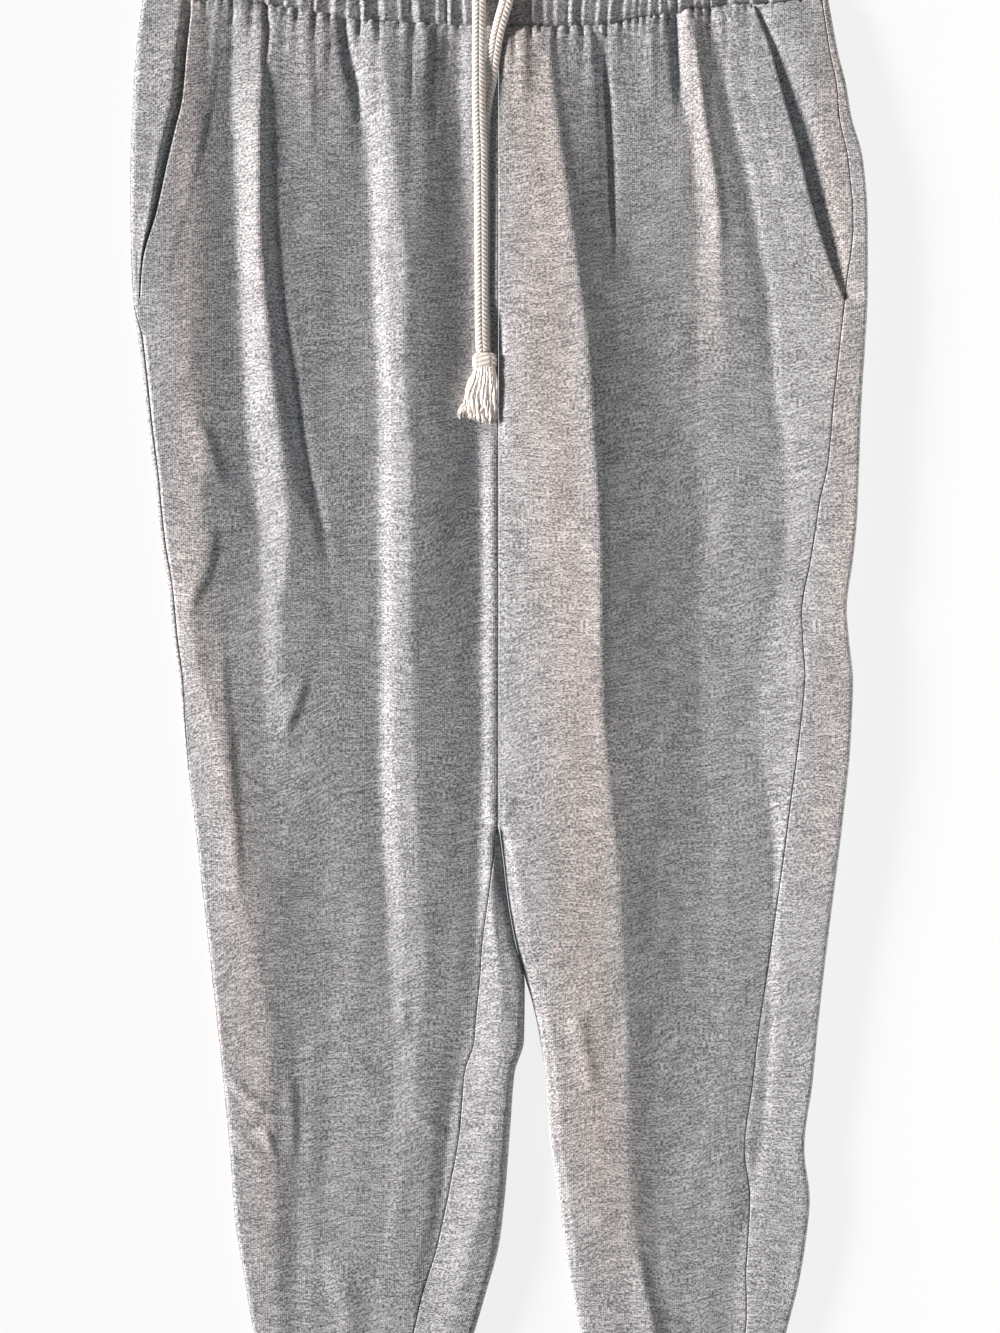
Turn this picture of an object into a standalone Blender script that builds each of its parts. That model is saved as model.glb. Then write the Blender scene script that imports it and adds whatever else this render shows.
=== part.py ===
"""Jogger sweatpants in brushed terry, lying flat on a surface, front side up.

Run it in Blender 4.5, from the text editor or with  blender --background --python part.py

The garment lies in the XY plane with its waist towards +Y and its front towards +Z.
Lengths in the tables are millimetres.  "down" is measured from the waist seam at the
centre front towards the cuffs, "out" from the centre front towards the side of the half
that is meant, and "high" from the surface to the outer face of the upper layer.
The wearer's right half lies at -X and the wearer's left half at +X.
"""
import math

import bmesh
import bpy
import numpy as np
from mathutils import Vector

NAME = "jogger_sweatpants"
MM = 0.001
SIDES = {"right": -1, "left": 1}

# ---------------------------------------------------------------- driving sizes
CLOTH = 1.6             # wall of the sweatshirt fleece
FACING = 1.1            # the pocket facing is a lighter terry
SEAM_GAP = 0.3          # between two sewn pieces
FRONT_RISE = 509        # waist seam to crotch point, a low drop crotch
LEG_END = 880           # waist seam to cuff seam
CUFF_DEPTH = 55
WAISTBAND_DEPTH = 45
MIDDLE = 434.9          # down at the middle of the whole length
POCKET_END = 175        # down at the lower end of the slant pocket mouth
POCKET_UNDER = 25       # how far the facing runs in under the front
HEIGHT_AT_SEAM = 8.0    # upper layer where it joins the waistband

# Rows across the panels; the first rows carry the small gathers under the waistband
ROW_STEP = 27
CRISPNESS = 0.75        # 0 is a soft bend at a fold line, 1 a sharp one
GATHER_PITCH = 7.7
GATHER_HEIGHT = {0: 1.1, 5: 0.9, 12: 0.5}       # by distance down

# ---------------------------------------------------------------- outlines
# Waist seam: out to the wearer's left is positive here.       (across, down)
WAIST_SEAM = (
    (-232, -21), (-220, -21), (-190, -16), (-166, -18), (-145, -13.5), (-127, -11),
    (-108, -7.5), (-89, -4.5), (-57, -2.5), (-17, -0.5), (6, 0), (46, 0), (69, -1), (89, -5),
    (117, -10), (144, -13.5), (161, -14), (187, -16), (203, -18), (216, -18),
)
SEAM_FADE = 60          # the rows are straight from here down

# Outer fold of each half                                       (down, out)
OUTER_EDGE = {
    "right": (
        (-21, 228), (13, 232.5), (54, 235), (94, 236.5), (135, 236), (174, 234.5),
        (196, 231.5), (227, 228), (251, 225.5), (287, 221), (323, 217.5), (358, 212),
        (388, 209), (419, 204.5), (450, 202), (521, 193.5), (567, 188.5), (648, 179.5),
        (720, 172.5), (761, 169.5), (796, 164), (834, 157.5), (880, 147.5),
    ),
    "left": (
        (-18, 211.5), (17, 218), (35, 222.5), (56, 226), (84, 233.5), (125, 236.5),
        (166, 236.5), (207, 234.5), (238, 232.5), (315, 229.5), (340, 227), (372, 223),
        (392, 224.5), (417, 227), (456, 225.5), (507, 220.5), (584, 211), (641, 204.5),
        (673, 201.5), (718, 196), (750, 199.5), (776, 197), (801, 193), (835, 184.5),
        (880, 174),
    ),
}
# Inner fold of each leg, from the crotch down                  (down, out)
INNER_EDGE = {
    "right": (
        (509, 0), (532, -3), (558, -6), (584, -10.5), (612, -17), (648, -16.5),
        (669, -10.5), (700, -8), (740, -5), (776, -1), (812, 8.5), (834, 15), (880, 31),
    ),
    "left": (
        (509, 0), (532, 3), (558, 6), (584, 10.5), (609, 17), (624, 21.5), (648, 26.5),
        (673, 30), (710, 32.5), (740, 37), (781, 42), (812, 47), (834, 52), (880, 62.5),
    ),
}
# Mouth of the slant pocket                                     (down, out, high)
POCKET_EDGE = {
    "right": (
        (-10, 197, 8), (14, 199.5, 8.5), (46, 202.5, 8.5), (65, 207, 8.5), (84, 211.5, 8.5),
        (116, 218.5, 8.5), (148, 227.5, 8), (175, 230, 7),
    ),
    "left": (
        (-15, 163, 8.4), (10, 173, 9.4), (43, 182, 10.4), (75, 191, 11), (110, 199.5, 11.2),
        (142, 209, 11.4), (175, 221, 11.6),
    ),
}
# Side seam, as the distance in from the outer fold             (down, inset, high)
SIDE_SEAM = {
    "right": (
        (-21, 0.6, 8), (175, 0.6, 7), (200, 3.3, 6.5), (358, 3.3, 6.5), (450, 1.6, 6.5),
        (486, 0.6, 6.5), (880, 0.6, 6.5),
    ),
    "left": (
        (-18, 4.6, 9), (35, 6.5, 10.5), (84, 10, 11), (126, 9.7, 11.4), (175, 15, 11.8),
        (225, 17.5, 12), (276, 20, 11.8), (307, 25, 10.6), (348, 27.5, 9.4), (409, 30.5, 10.4),
        (488, 34.5, 9.8), (577, 35.5, 7.6), (675, 38.5, 7.2), (740, 38.5, 7.2), (791, 36, 7.3),
        (834, 26.5, 7.5), (880, 21.5, 7),
    ),
}
# The inseam, as the distance in from the inner fold: on the front of the right leg,
# on the underside of the left one                              (down, inset)
INSEAM = {
    "right": (
        (517, 3.4), (530, 6), (558, 12.5), (584, 20.5), (612, 29), (660, 32), (700, 32),
        (740, 35.5), (776, 39), (812, 40.5), (834, 39), (880, 34.5),
    ),
    "left": ((517, 3.4), (584, 16), (640, 30), (760, 32), (880, 26)),
}
# Roundness of the folds: half width and full height            (down, radius, high)
OUTER_FOLD = {
    "right": ((-21, 4, 8), (60, 5, 8.5), (175, 4.2, 7), (300, 3.5, 6.5), (880, 3.5, 6.5)),
    "left": (
        (-18, 4, 8.5), (60, 3.2, 11), (220, 3, 13), (460, 3, 13.4), (540, 3, 12),
        (600, 3, 10.6), (700, 3, 10), (880, 3, 7.6),
    ),
}
INNER_FOLD = {
    "right": ((509, 2.4, 5.5), (530, 4, 7), (584, 5.5, 8.6), (700, 5.5, 9), (820, 5, 8.6), (880, 4.5, 6.5)),
    "left": ((509, 2.4, 5.5), (530, 4, 7), (584, 5, 8.5), (700, 5, 8.5), (880, 4.5, 7)),
}
CROTCH_STEP = 8         # first full leg section lies this far below the crotch point

# ---------------------------------------------------------------- folds of the cloth
# Every line runs down the garment, a crest or the foot of one.  (down, out, high)
FOLDS = {
    "right": {
        "cord_lip": (
            (0, 2, 7.2), (20, 2, 8), (46, 2.2, 8.8), (84, 2.2, 9.2), (174, 2.2, 9.2), (196, 2, 4.6),
            (252, 2, 4.8), (268, 1.5, 8.2), (507, 1.5, 8.2), (558, 0.5, 8.8), (622, -6.5, 9.9),
            (660, -4.5, 9.9), (718, 5.5, 9.5), (788, 16.5, 9.5), (820, 24.5, 9.2), (880, 38.5, 7.2),
        ),
        "cord_bed": (
            (0, 5, 6.8), (20, 5.2, 5), (46, 5.2, 4.3), (174, 5.2, 4), (252, 5.2, 4.3),
            (268, 3.2, 8.4), (507, 3.2, 8.5), (558, 2.2, 9.1), (622, -4.8, 10.2),
            (660, -2.8, 10.2), (718, 7.2, 9.8), (788, 18.2, 9.8), (820, 26.2, 9.4), (880, 40.2, 7.3),
        ),
        "beside_centre": (
            (0, 17, 7.6), (20, 18, 7), (46, 18, 6.4), (84, 17, 5.4), (123, 14, 4.3),
            (174, 12, 4), (252, 11, 4.3), (268, 5, 8.6), (276, 5, 9), (366, 5, 8.8),
            (507, 5, 8.8), (558, 4, 9.4), (622, -3, 10.5), (660, -1, 10.5), (686, 4, 10),
            (718, 9, 10), (750, 12, 10), (788, 20, 10), (820, 28, 9.6), (880, 42, 7.4),
        ),
        "centre_valley": (
            (-8, 26, 6.6), (20, 27, 4.8), (46, 26, 4.3), (84, 23.5, 4.3), (123, 21, 4.3),
            (174, 18, 4.3), (225, 18, 4.3), (276, 15.5, 4.3), (379, 13.5, 4.3), (481, 12.5, 4.5),
            (545, 13, 4.7), (616, 15, 4.7), (648, 19, 4.7), (699, 31, 4.9), (750, 36, 4.9),
            (801, 45, 5.3), (834, 52, 6), (880, 61, 5.8),
        ),
        "slope_b": (
            (-8, 44, 7.6), (20, 48, 8.4), (46, 49, 8.8), (84, 48, 9.6), (174, 45, 10.2),
            (276, 40, 10.4), (379, 36, 9.6), (430, 34, 9.6), (481, 33, 9.4), (545, 32, 8.4),
            (596, 31, 7.4), (648, 38, 6.8), (750, 46, 6.6), (834, 60, 6.4), (880, 66, 6.2),
        ),
        "ridge_b": (
            (-8, 80, 8.6), (20, 74, 12), (46, 70, 13.2), (84, 66, 13.4), (174, 59, 13.6),
            (225, 60, 14), (276, 56, 13.8), (379, 56, 12.8), (481, 53, 11.8), (545, 50, 10.4),
            (596, 47, 9.2), (648, 52, 7.8), (699, 56, 7), (834, 72, 6.8), (880, 74, 6.5),
        ),
        "brow_b": (
            (-8, 88, 7.8), (20, 83, 9.8), (46, 77.5, 11), (84, 73.5, 10.6), (174, 71, 10.6),
            (276, 67.5, 10.8), (379, 67, 10.4), (481, 66, 10), (545, 62, 9), (596, 60, 7.9),
            (648, 60, 7), (699, 62, 6.7), (834, 78, 6.6), (880, 80, 6.4),
        ),
        "foot_b": (
            (-8, 101, 6.8), (20, 95.5, 5.4), (46, 89, 4.8), (84, 84, 4.7), (174, 80, 4.7),
            (225, 77.5, 4.7), (328, 76.5, 4.7), (481, 76, 4.9), (545, 73, 5.2), (596, 71, 5.8),
            (648, 67, 6.2), (750, 69.5, 6.3), (834, 84, 6.4), (880, 85, 6.2),
        ),
        "middle": (
            (-8, 107, 8.4), (20, 102, 9.8), (46, 96, 9), (84, 98, 7.6), (123, 104, 7.2),
            (238, 101.5, 6.8), (366, 92, 6.3), (622, 88.5, 6.6), (834, 98, 6.8), (880, 98, 6.4),
        ),
        "foot_a": (
            (-8, 144, 7), (20, 145, 6.2), (46, 145, 7.2), (84, 144, 8.8), (123, 141.5, 9.6),
            (174, 138, 9.6), (225, 132, 9), (276, 122, 8), (328, 109, 7), (379, 104, 6.7),
            (430, 106, 6.8), (507, 110, 6.6), (622, 108, 6.3), (750, 111, 6.4), (880, 111, 6.3),
        ),
        "ridge_a": (
            (-8, 149, 8.8), (20, 149.5, 11.6), (46, 152, 13.2), (84, 152.5, 13.8), (123, 153, 13.8),
            (174, 149.5, 13.6), (225, 145, 13.2), (276, 137, 12.8), (328, 127, 11.8), (379, 122, 10.4),
            (430, 124, 9.4), (507, 127, 8.2), (622, 122, 7), (750, 119.5, 6.9), (880, 119, 6.4),
        ),
        "before_ridge_a": (
            (-8, 168, 6.8), (20, 170.5, 5.6), (46, 170.5, 5.2), (84, 168.5, 5), (123, 167.5, 5),
            (174, 165, 5), (225, 163, 5), (276, 159, 5), (328, 152.5, 5.4), (379, 151, 6.4),
            (430, 150, 8), (481, 148, 8.6), (545, 140, 8.8), (622, 131, 7.6), (700, 128, 6.9),
            (880, 129, 6.3),
        ),
        "side_crest": (
            (-8, 190, 7.4), (20, 192, 8), (52, 195, 8.2), (84, 192, 8.4), (123, 195, 8.6),
            (174, 197, 8.6), (225, 197, 8.8), (276, 188, 9.4), (328, 185, 9.8), (379, 184, 9.6),
            (430, 175, 10.6), (481, 171, 10.8), (545, 165, 10.4), (596, 154, 9.8),
            (648, 146, 9.2), (699, 145, 8.6), (750, 143, 8.2), (834, 140, 7.4), (880, 138, 6.6),
        ),
    },
    "left": {
        "beside_cord": (
            (0, 4, 7.8), (20, 5.5, 9), (46, 5.5, 10.2), (174, 5.5, 10.4), (196, 3, 9.8),
            (252, 3, 9.8), (268, 5.5, 9.6), (509, 5.5, 9.2),
            (545, 12, 10.4), (600, 24, 9.8), (648, 34, 10), (750, 44, 9.4), (834, 60, 8), (880, 70, 7.4),
        ),
        "ridge_c": (
            (-8, 31, 9), (20, 33, 12), (46, 35.5, 13.8), (84, 39.5, 15.2), (123, 45, 16.6),
            (174, 52, 18), (225, 58, 19.2), (276, 61.5, 19.6), (328, 65, 19.6), (379, 65.5, 19.2),
            (430, 66, 18.6), (481, 71, 18), (545, 77, 17.2), (596, 79, 16), (648, 82, 14.6),
            (699, 82.5, 13.4), (750, 84.5, 12.2), (801, 92, 10.8), (834, 97, 9.6), (880, 100, 7.8),
        ),
        "shoulder_c": (
            (-8, 56, 9.2), (20, 58, 9.8), (46, 60.5, 10.2), (84, 63, 10.8), (123, 66.5, 11.8),
            (174, 68, 13), (225, 72, 14.4), (276, 75, 14.8), (328, 79, 14.8), (379, 80, 14.4),
            (430, 81, 14), (545, 91, 13.2), (648, 96, 11.2), (750, 97, 9.8), (834, 107, 8.4),
            (880, 107, 7.4),
        ),
        "foot_c": (
            (-8, 62, 8.2), (20, 64, 8.6), (46, 66.5, 8.8), (84, 70, 9), (123, 75, 9), (155, 84, 9.2),
            (174, 92, 9.3), (225, 100, 9.6), (276, 105, 9.6), (328, 105, 9.8), (379, 104, 9.8),
            (430, 102, 10.2), (545, 112, 9.6), (648, 113, 8.8), (750, 112, 8.4), (834, 120, 7.7),
            (880, 116, 7.2),
        ),
        "before_ridge_d": (
            (-8, 113, 7.6), (20, 113.5, 6.4), (46, 116, 6.2), (84, 121, 6.2), (123, 126, 6.3),
            (174, 124, 6.6), (238, 126, 7), (328, 127, 7), (430, 128, 7), (545, 136, 6.8),
            (648, 132, 6.8), (750, 132, 6.8), (834, 133, 7), (880, 130, 6.8),
        ),
        "ridge_d": (
            (-8, 122.5, 8.8), (20, 127, 11), (46, 131, 11.6), (84, 136, 11.2), (123, 141.5, 10.6),
            (174, 144, 8.8), (238, 146, 7.4), (328, 146, 7.2), (430, 142, 7), (545, 148, 6.6),
            (648, 147, 6.6), (750, 145, 6.8), (834, 142, 7), (880, 138, 6.6),
        ),
        "foot_d": (
            (-8, 136.5, 7.8), (20, 141, 8.4), (46, 147, 8.6), (84, 155, 8.2), (123, 164, 7.6),
            (174, 173, 6.8), (238, 177, 6.6), (276, 180, 6.6), (328, 183, 6.8), (379, 172, 7),
            (430, 154, 7), (481, 154, 7), (545, 166, 6.4), (596, 170, 6.3), (699, 168, 6.3),
            (750, 162, 6.5), (801, 152, 6.8), (880, 145, 6.6),
        ),
    },
}
# Height at the centre-front seam                               (down, high)
CENTRE_HIGH = (
    (0, 7.2), (20, 8.4), (46, 9.4), (174, 9.4), (196, 5.1), (252, 5.2), (268, 7.8), (509, 7.8),
)
# The facing between the pocket mouth and the side seam         (down, at mouth, swell)
FACING_HIGH = {
    "right": ((-21, 5, 8), (40, 4.6, 9), (120, 4.6, 8.6), (175, 4.6, 7)),
    "left": ((-21, 5.2, 8.5), (40, 5, 9.8), (120, 5, 10.2), (175, 5, 10.8)),
}

# ---------------------------------------------------------------- waistband and cuffs
WAISTBAND_WALL = 3.0            # two layers of cloth round the elastic
WAISTBAND_HIGH = 9.4
WAISTBAND_GATHERS = 58
WAISTBAND_GATHER_HIGH = 1.2
# Sections of the waistband from its seam to its top edge  (up, right, left, high, gather)
WAISTBAND_ROWS = (
    (0.0, 228, 211.5, 7.8, 0.7),
    (5.0, 227.6, 211, 9.0, 1.2),
    (22.0, 226, 209, 9.4, 1.2),
    (40.0, 224.5, 207, 9.0, 1.0),
    (45.0, 224, 206.5, 7.4, 0.4),
)
BAND_TOP_DROP = 0.95            # how much of the seam's curve the top edge keeps
BUTTONHOLE_SIZE = (10.2, 17.0)  # across, down
BUTTONHOLES = {"right": -12.4, "left": 6.4}     # across
BUTTONHOLE_DOWN = -24.0

CUFF_WALL = 2.2
CUFF_HIGH = 6.8
CUFF_RIBS = 20
CUFF_RIB_HIGH = 0.8
# Folds of the two cuffs at the leg seam and at the open end    (outer, inner)
CUFFS = {"right": ((145.5, 33), (141.5, 36.5)), "left": ((172, 64.5), (168.5, 68))}

# ---------------------------------------------------------------- drawcords
CORD_SIZE = (9.2, 3.6)  # a hollow braid lies flattened: width, thickness
CORD_SIDES = 12
# The cord out of the left-hand buttonhole lies on top.    (across, down, high)
CORD_ROUTES = {
    "upper": (
        (-12.4, -25, 7.6), (-12.4, -21, 12.0), (-12.4, -14, 13.4), (-12.5, -4, 13.0),
        (-12.6, 10, 11.6), (-12.6, 22, 12.4), (-12.6, 32, 13.2), (-12.5, 46, 12.0),
        (-12.2, 62, 11.1), (-11.4, 80, 10.6), (-11.2, 104, 10.2), (-11.0, 130, 10.0),
        (-10.9, 156, 9.9), (-10.8, 180, 9.9), (-10.5, 198, 10.0), (-10.0, 207.4, 10.4),
    ),
    "lower": (
        (6.4, -25, 7.6), (5.9, -21, 12.0), (4.4, -14, 13.2), (1.4, -4, 12.6),
        (-1.2, 6, 11.5), (-3.1, 18, 10.9), (-5.0, 32, 10.6), (-7.6, 46, 8.6),
        (-9.2, 62, 7.3), (-9.6, 80, 6.9), (-9.6, 104, 6.4), (-9.5, 130, 6.2),
        (-9.5, 156, 6.1), (-9.4, 180, 6.1), (-9.2, 198, 6.2), (-9.0, 208.2, 6.3),
    ),
}
CORD_OWNER = {"upper": "right", "lower": "left"}
KNOT_SIZE = (16.0, 10.4, 3.9)       # across, down, high
KNOTS = {"upper": (-8.9, 213.1, 10.6), "lower": (-9.0, 213.9, 6.3)}    # across, down, high
STRANDS = (6, 3)                    # across and high
STRAND_LENGTH = 33
STRAND_SPREAD = {"upper": 4.0, "lower": 4.0}
STRAND_DRIFT = {"upper": -4.2, "lower": -3.0}
STRAND_DROP = {"upper": 0.6, "lower": -0.5}
STRAND_SETTLE = {"upper": 0.3, "lower": 0.3}    # the top yarns come down on the others
STRAND_TAPER = 0.8


def pchip(xs, ys, at):
    """Smooth curve through points, with no overshoot between them."""
    xs, ys = np.asarray(xs, float), np.asarray(ys, float)
    step = np.diff(xs)
    slope = np.diff(ys) / step
    tangent = np.zeros(len(xs))
    tangent[0], tangent[-1] = slope[0], slope[-1]
    for i in range(1, len(xs) - 1):
        if slope[i - 1] * slope[i] > 0:
            before, after = 2 * step[i] + step[i - 1], step[i] + 2 * step[i - 1]
            tangent[i] = (before + after) / (before / slope[i - 1] + after / slope[i])
    at = np.clip(at, xs[0], xs[-1])
    i = np.clip(np.searchsorted(xs, at) - 1, 0, len(step) - 1)
    t = (at - xs[i]) / step[i]
    return (ys[i] * (1 + 2 * t) * (1 - t) ** 2 + ys[i + 1] * t * t * (3 - 2 * t)
            + step[i] * (tangent[i] * t * (1 - t) ** 2 - tangent[i + 1] * t * t * (1 - t)))


def column(table, number, at):
    """Read one column of a table whose first column is the distance down."""
    return pchip([row[0] for row in table], [row[number] for row in table], at)


def point(side, out, down, high):
    """A point of the garment in metres; side is -1, 1 or a signed half's name."""
    sign = SIDES.get(side, side)
    return Vector((sign * out * MM, (MIDDLE - down) * MM, high * MM))


def waist_shift(side, out, down, lower=False):
    """How far the curve of the waist seam moves a point of this row.

    On the lower layer the seam runs straight from fold to fold.
    """
    across = [row[0] for row in WAIST_SEAM]
    shift = [row[1] for row in WAIST_SEAM]
    fade = max(0.0, 1 - down / SEAM_FADE)
    if lower:
        return float(np.interp(SIDES[side] * out, (across[1], across[-2]), (shift[1], shift[-2]))) * fade
    return float(pchip(across, shift, SIDES[side] * out)) * fade


def line_in_row(side, table, down):
    """Place and height where a line crosses a row, allowing for the curve of the waist."""
    actual = down + waist_shift(side, float(column(table, 1, down)), down)
    return tuple(float(column(table, number, actual)) for number in range(1, len(table[0])))


class Section:
    """One cross-section of one half, at a distance down the garment."""

    def __init__(self, side, down):
        self.side, self.down = side, down
        self.is_leg = down > FRONT_RISE
        self.edge, = line_in_row(side, OUTER_EDGE[side], down)
        at_edge = down + waist_shift(side, self.edge, down)
        self.radius = float(column(OUTER_FOLD[side], 1, at_edge))
        self.edge_high = float(column(OUTER_FOLD[side], 2, at_edge))
        self.has_pocket = down < POCKET_END
        self.seam_inset = float(column(SIDE_SEAM[side], 1, at_edge))
        self.inner = SEAM_GAP / 2
        self.inner_radius = self.inner_high = 0.0
        if self.is_leg:
            self.inner += float(column(INNER_EDGE[side], 1, down))
            self.inner_radius = float(column(INNER_FOLD[side], 1, down))
            self.inner_high = float(column(INNER_FOLD[side], 2, down))
            self.inseam_inset = float(column(INSEAM[side], 1, down))
        self.knots = self.find_knots()

    def find_knots(self):
        """Places and heights of the fold lines in this section, from the centre out."""
        if self.is_leg:
            knots = [(self.inner + self.inner_radius, self.inner_high)]
        else:
            knots = [(0.0, float(column(CENTRE_HIGH, 1, self.down)))]
        for table in FOLDS[self.side].values():
            knots.append(line_in_row(self.side, table, self.down))
        if self.has_pocket:
            knots.append(line_in_row(self.side, POCKET_EDGE[self.side], self.down))
        else:
            if self.seam_inset > self.radius + 2:
                seam_high = float(column(SIDE_SEAM[self.side], 2, self.down))
                knots.append((self.edge - self.seam_inset, seam_high))
            knots.append((self.edge - self.radius, self.edge_high))
        spaced = [knots[0]]
        for out, high in knots[1:]:
            spaced.append((max(out, spaced[-1][0] + 1.5), high))
        return spaced

    def top(self, out):
        """Height of the outer face of the upper layer."""
        outs, highs = zip(*self.knots)
        high = (1 - CRISPNESS) * float(pchip(outs, highs, out)) + CRISPNESS * float(np.interp(out, outs, highs))
        blend = min(1.0, max(0.0, self.down / 16))
        return HEIGHT_AT_SEAM + (high - HEIGHT_AT_SEAM) * blend

    def shifted(self, out, lower=False):
        """Distance down of a point of this section, with the curve of the waist seam."""
        return self.down + waist_shift(self.side, out, self.down, lower)

    def flat(self, out, high, wall):
        """Outer and inner point of a wall that lies level, upper (wall > 0) or lower."""
        down = self.shifted(out, lower=wall < 0)
        return point(self.side, out, down, high), point(self.side, out, down, high - wall)

    def fold(self, angle, inner=False):
        """Outer and inner point on the rounded fold: 90 degrees is its top, -90 its bottom."""
        edge, radius, full = self.edge, self.radius, self.edge_high
        away = 1
        if inner:
            edge, radius, full, away = self.inner, self.inner_radius, self.inner_high, -1
        points = []
        for wall in (0.0, CLOTH):
            out = edge - away * radius + away * (radius - wall) * math.cos(math.radians(angle))
            high = full / 2 + (full / 2 - wall) * math.sin(math.radians(angle))
            points.append(point(self.side, out, self.shifted(edge), high))
        return tuple(points)

    def seam_angle(self):
        """Angle of a side seam that lies on the rounding of the outer fold."""
        return math.degrees(math.acos(max(-1.0, 1 - self.seam_inset / self.radius)))


def spread(first, last, count):
    """Evenly spaced values, both ends included."""
    return [first + (last - first) * i / (count - 1) for i in range(count)]


def row_stations():
    """Distances down of the panel rows, closer at the waist, pocket end and crotch."""
    fixed = [0, 5, 12, 24, 42, 62, 88, 114, 140, 160, POCKET_END - 7, POCKET_END + 3, 200]
    upper = spread(200, FRONT_RISE, 1 + round((FRONT_RISE - 200) / ROW_STEP))[1:]
    first_leg = FRONT_RISE + CROTCH_STEP
    lower = spread(first_leg, LEG_END, 1 + round((LEG_END - first_leg) / ROW_STEP))
    return fixed + upper + [first_leg, first_leg + 9] + lower[1:]


def front_limits(section):
    """Where the front panel starts and ends on the upper layer."""
    half = SEAM_GAP / 2
    start = section.knots[0][0] + half
    if section.is_leg and section.side == "right":
        start = section.inner + section.inseam_inset + half
    elif section.is_leg:
        start = section.inner + section.inner_radius
    end = section.knots[-1][0]
    if not section.has_pocket and section.side == "left":
        end = section.edge - section.seam_inset - half
    return start, end


def fold_columns(section):
    """Columns of a front panel: its fold lines, with two more between neighbours."""
    start, end = front_limits(section)
    lines = [line_in_row(section.side, table, section.down)[0] for table in FOLDS[section.side].values()]
    for i in range(len(lines)):
        lines[i] = max(lines[i], start + 2.0 * (i + 1))
    for i in reversed(range(len(lines))):
        lines[i] = min(lines[i], end - 2.0 * (len(lines) - i))
    marks = [start] + lines + [end]
    between = 3 if section.side == "left" else 2
    columns = []
    for a, b in zip(marks, marks[1:]):
        columns.extend(spread(a, b, between + 1)[:-1])
    return columns + [end]


def gather(side, out, down):
    """Height of the small gathers under the waistband."""
    phase = out / GATHER_PITCH + 0.3 * math.sin(out / 23 + SIDES[side])
    return GATHER_HEIGHT[down] * math.cos(2 * math.pi * phase)


def gather_columns(outs):
    """A column at each crest and each trough of the small gathers."""
    count = 1 + round((outs[-1] - outs[0]) / (GATHER_PITCH / 2))
    return spread(outs[0], outs[-1], count)


def front_rows(side):
    """Rows of keyed outer and inner points for one front panel."""
    outer_rows, inner_rows = [], []
    for down in row_stations():
        section = Section(side, down)
        outs = fold_columns(section)
        keys = [float(i) for i in range(len(outs))]
        pairs = [section.flat(out, section.top(out), CLOTH) for out in outs]
        outer = [(key, pair[0]) for key, pair in zip(keys, pairs)]
        inner = [(key, pair[1]) for key, pair in zip(keys, pairs)]
        if down in GATHER_HEIGHT:
            fine = gather_columns(outs)
            outer = [(float(np.interp(out, outs, keys)),
                      section.flat(out, section.top(out) + gather(side, out, down), CLOTH)[0])
                     for out in fine]
            inner = [(key, pair[1] - Vector((0, 0.3 * MM, 0.5 * MM))) for key, pair in zip(keys, pairs)]
        last = keys[-1]
        if side == "right" and not section.has_pocket:
            stop = section.seam_angle() + math.degrees(SEAM_GAP / 2 / section.radius)
            for i, angle in enumerate(spread(90, max(stop, 5), 4)[1:]):
                pair = section.fold(angle)
                outer.append((last + 1 + i, pair[0]))
                inner.append((last + 1 + i, pair[1]))
        if side == "left" and section.is_leg:
            wrap = []
            for i, angle in enumerate(spread(90, -90, 6)[1:]):
                wrap.append((-1.0 - i, section.fold(angle, inner=True)))
            base = section.inner + section.inner_radius
            seam = max(section.inner + section.inseam_inset - SEAM_GAP / 2, base + 0.4)
            for i, out in enumerate(spread(base, seam, 3)[1:]):
                wrap.append((-6.0 - i, section.flat(out, 0.0, -CLOTH)))
            wrap.reverse()
            outer = [(key, pair[0]) for key, pair in wrap] + outer
            inner = [(key, pair[1]) for key, pair in wrap] + inner
        outer_rows.append(outer)
        inner_rows.append(inner)
    return outer_rows, inner_rows


def back_rows(side):
    """Rows of keyed outer and inner points for one back panel, from its side seam."""
    outer_rows, inner_rows = [], []
    half = SEAM_GAP / 2
    for down in row_stations():
        section = Section(side, down)
        pairs = []
        if side == "left":
            tangent = section.edge - section.radius
            for i, out in enumerate(spread(section.edge - section.seam_inset + half, tangent, 4)[:-1]):
                high = facing_top(section, out) if section.has_pocket else section.top(out)
                pairs.append((i, section.flat(out, high, CLOTH)))
            first_angle = 90.0
        else:
            first_angle = section.seam_angle() - math.degrees(half / section.radius)
        for i, angle in enumerate(spread(first_angle, -90, 6)):
            pairs.append((3 + i, section.fold(angle)))
        start = section.edge - section.radius
        stop = section.inner
        if section.is_leg and side == "right":
            stop = section.inner + section.inner_radius
        elif section.is_leg:
            stop = section.inner + max(section.inseam_inset + half, section.inner_radius + 1)
        for i, out in enumerate(spread(start, stop, 5)[1:]):
            pairs.append((9 + i, section.flat(out, 0.0, -CLOTH)))
        if section.is_leg and side == "right":
            for i, angle in enumerate(spread(-90, 90, 6)[1:]):
                pairs.append((13 + i, section.fold(angle, inner=True)))
            base = section.inner + section.inner_radius
            seam = max(section.inner + section.inseam_inset - half, base + 0.4)
            for i, out in enumerate(spread(base, seam, 4)[1:]):
                pairs.append((18 + i, section.flat(out, section.top(out), CLOTH)))
        outer_rows.append([(float(key), pair[0]) for key, pair in pairs])
        inner_rows.append([(float(key), pair[1]) for key, pair in pairs])
    return outer_rows, inner_rows


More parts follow.
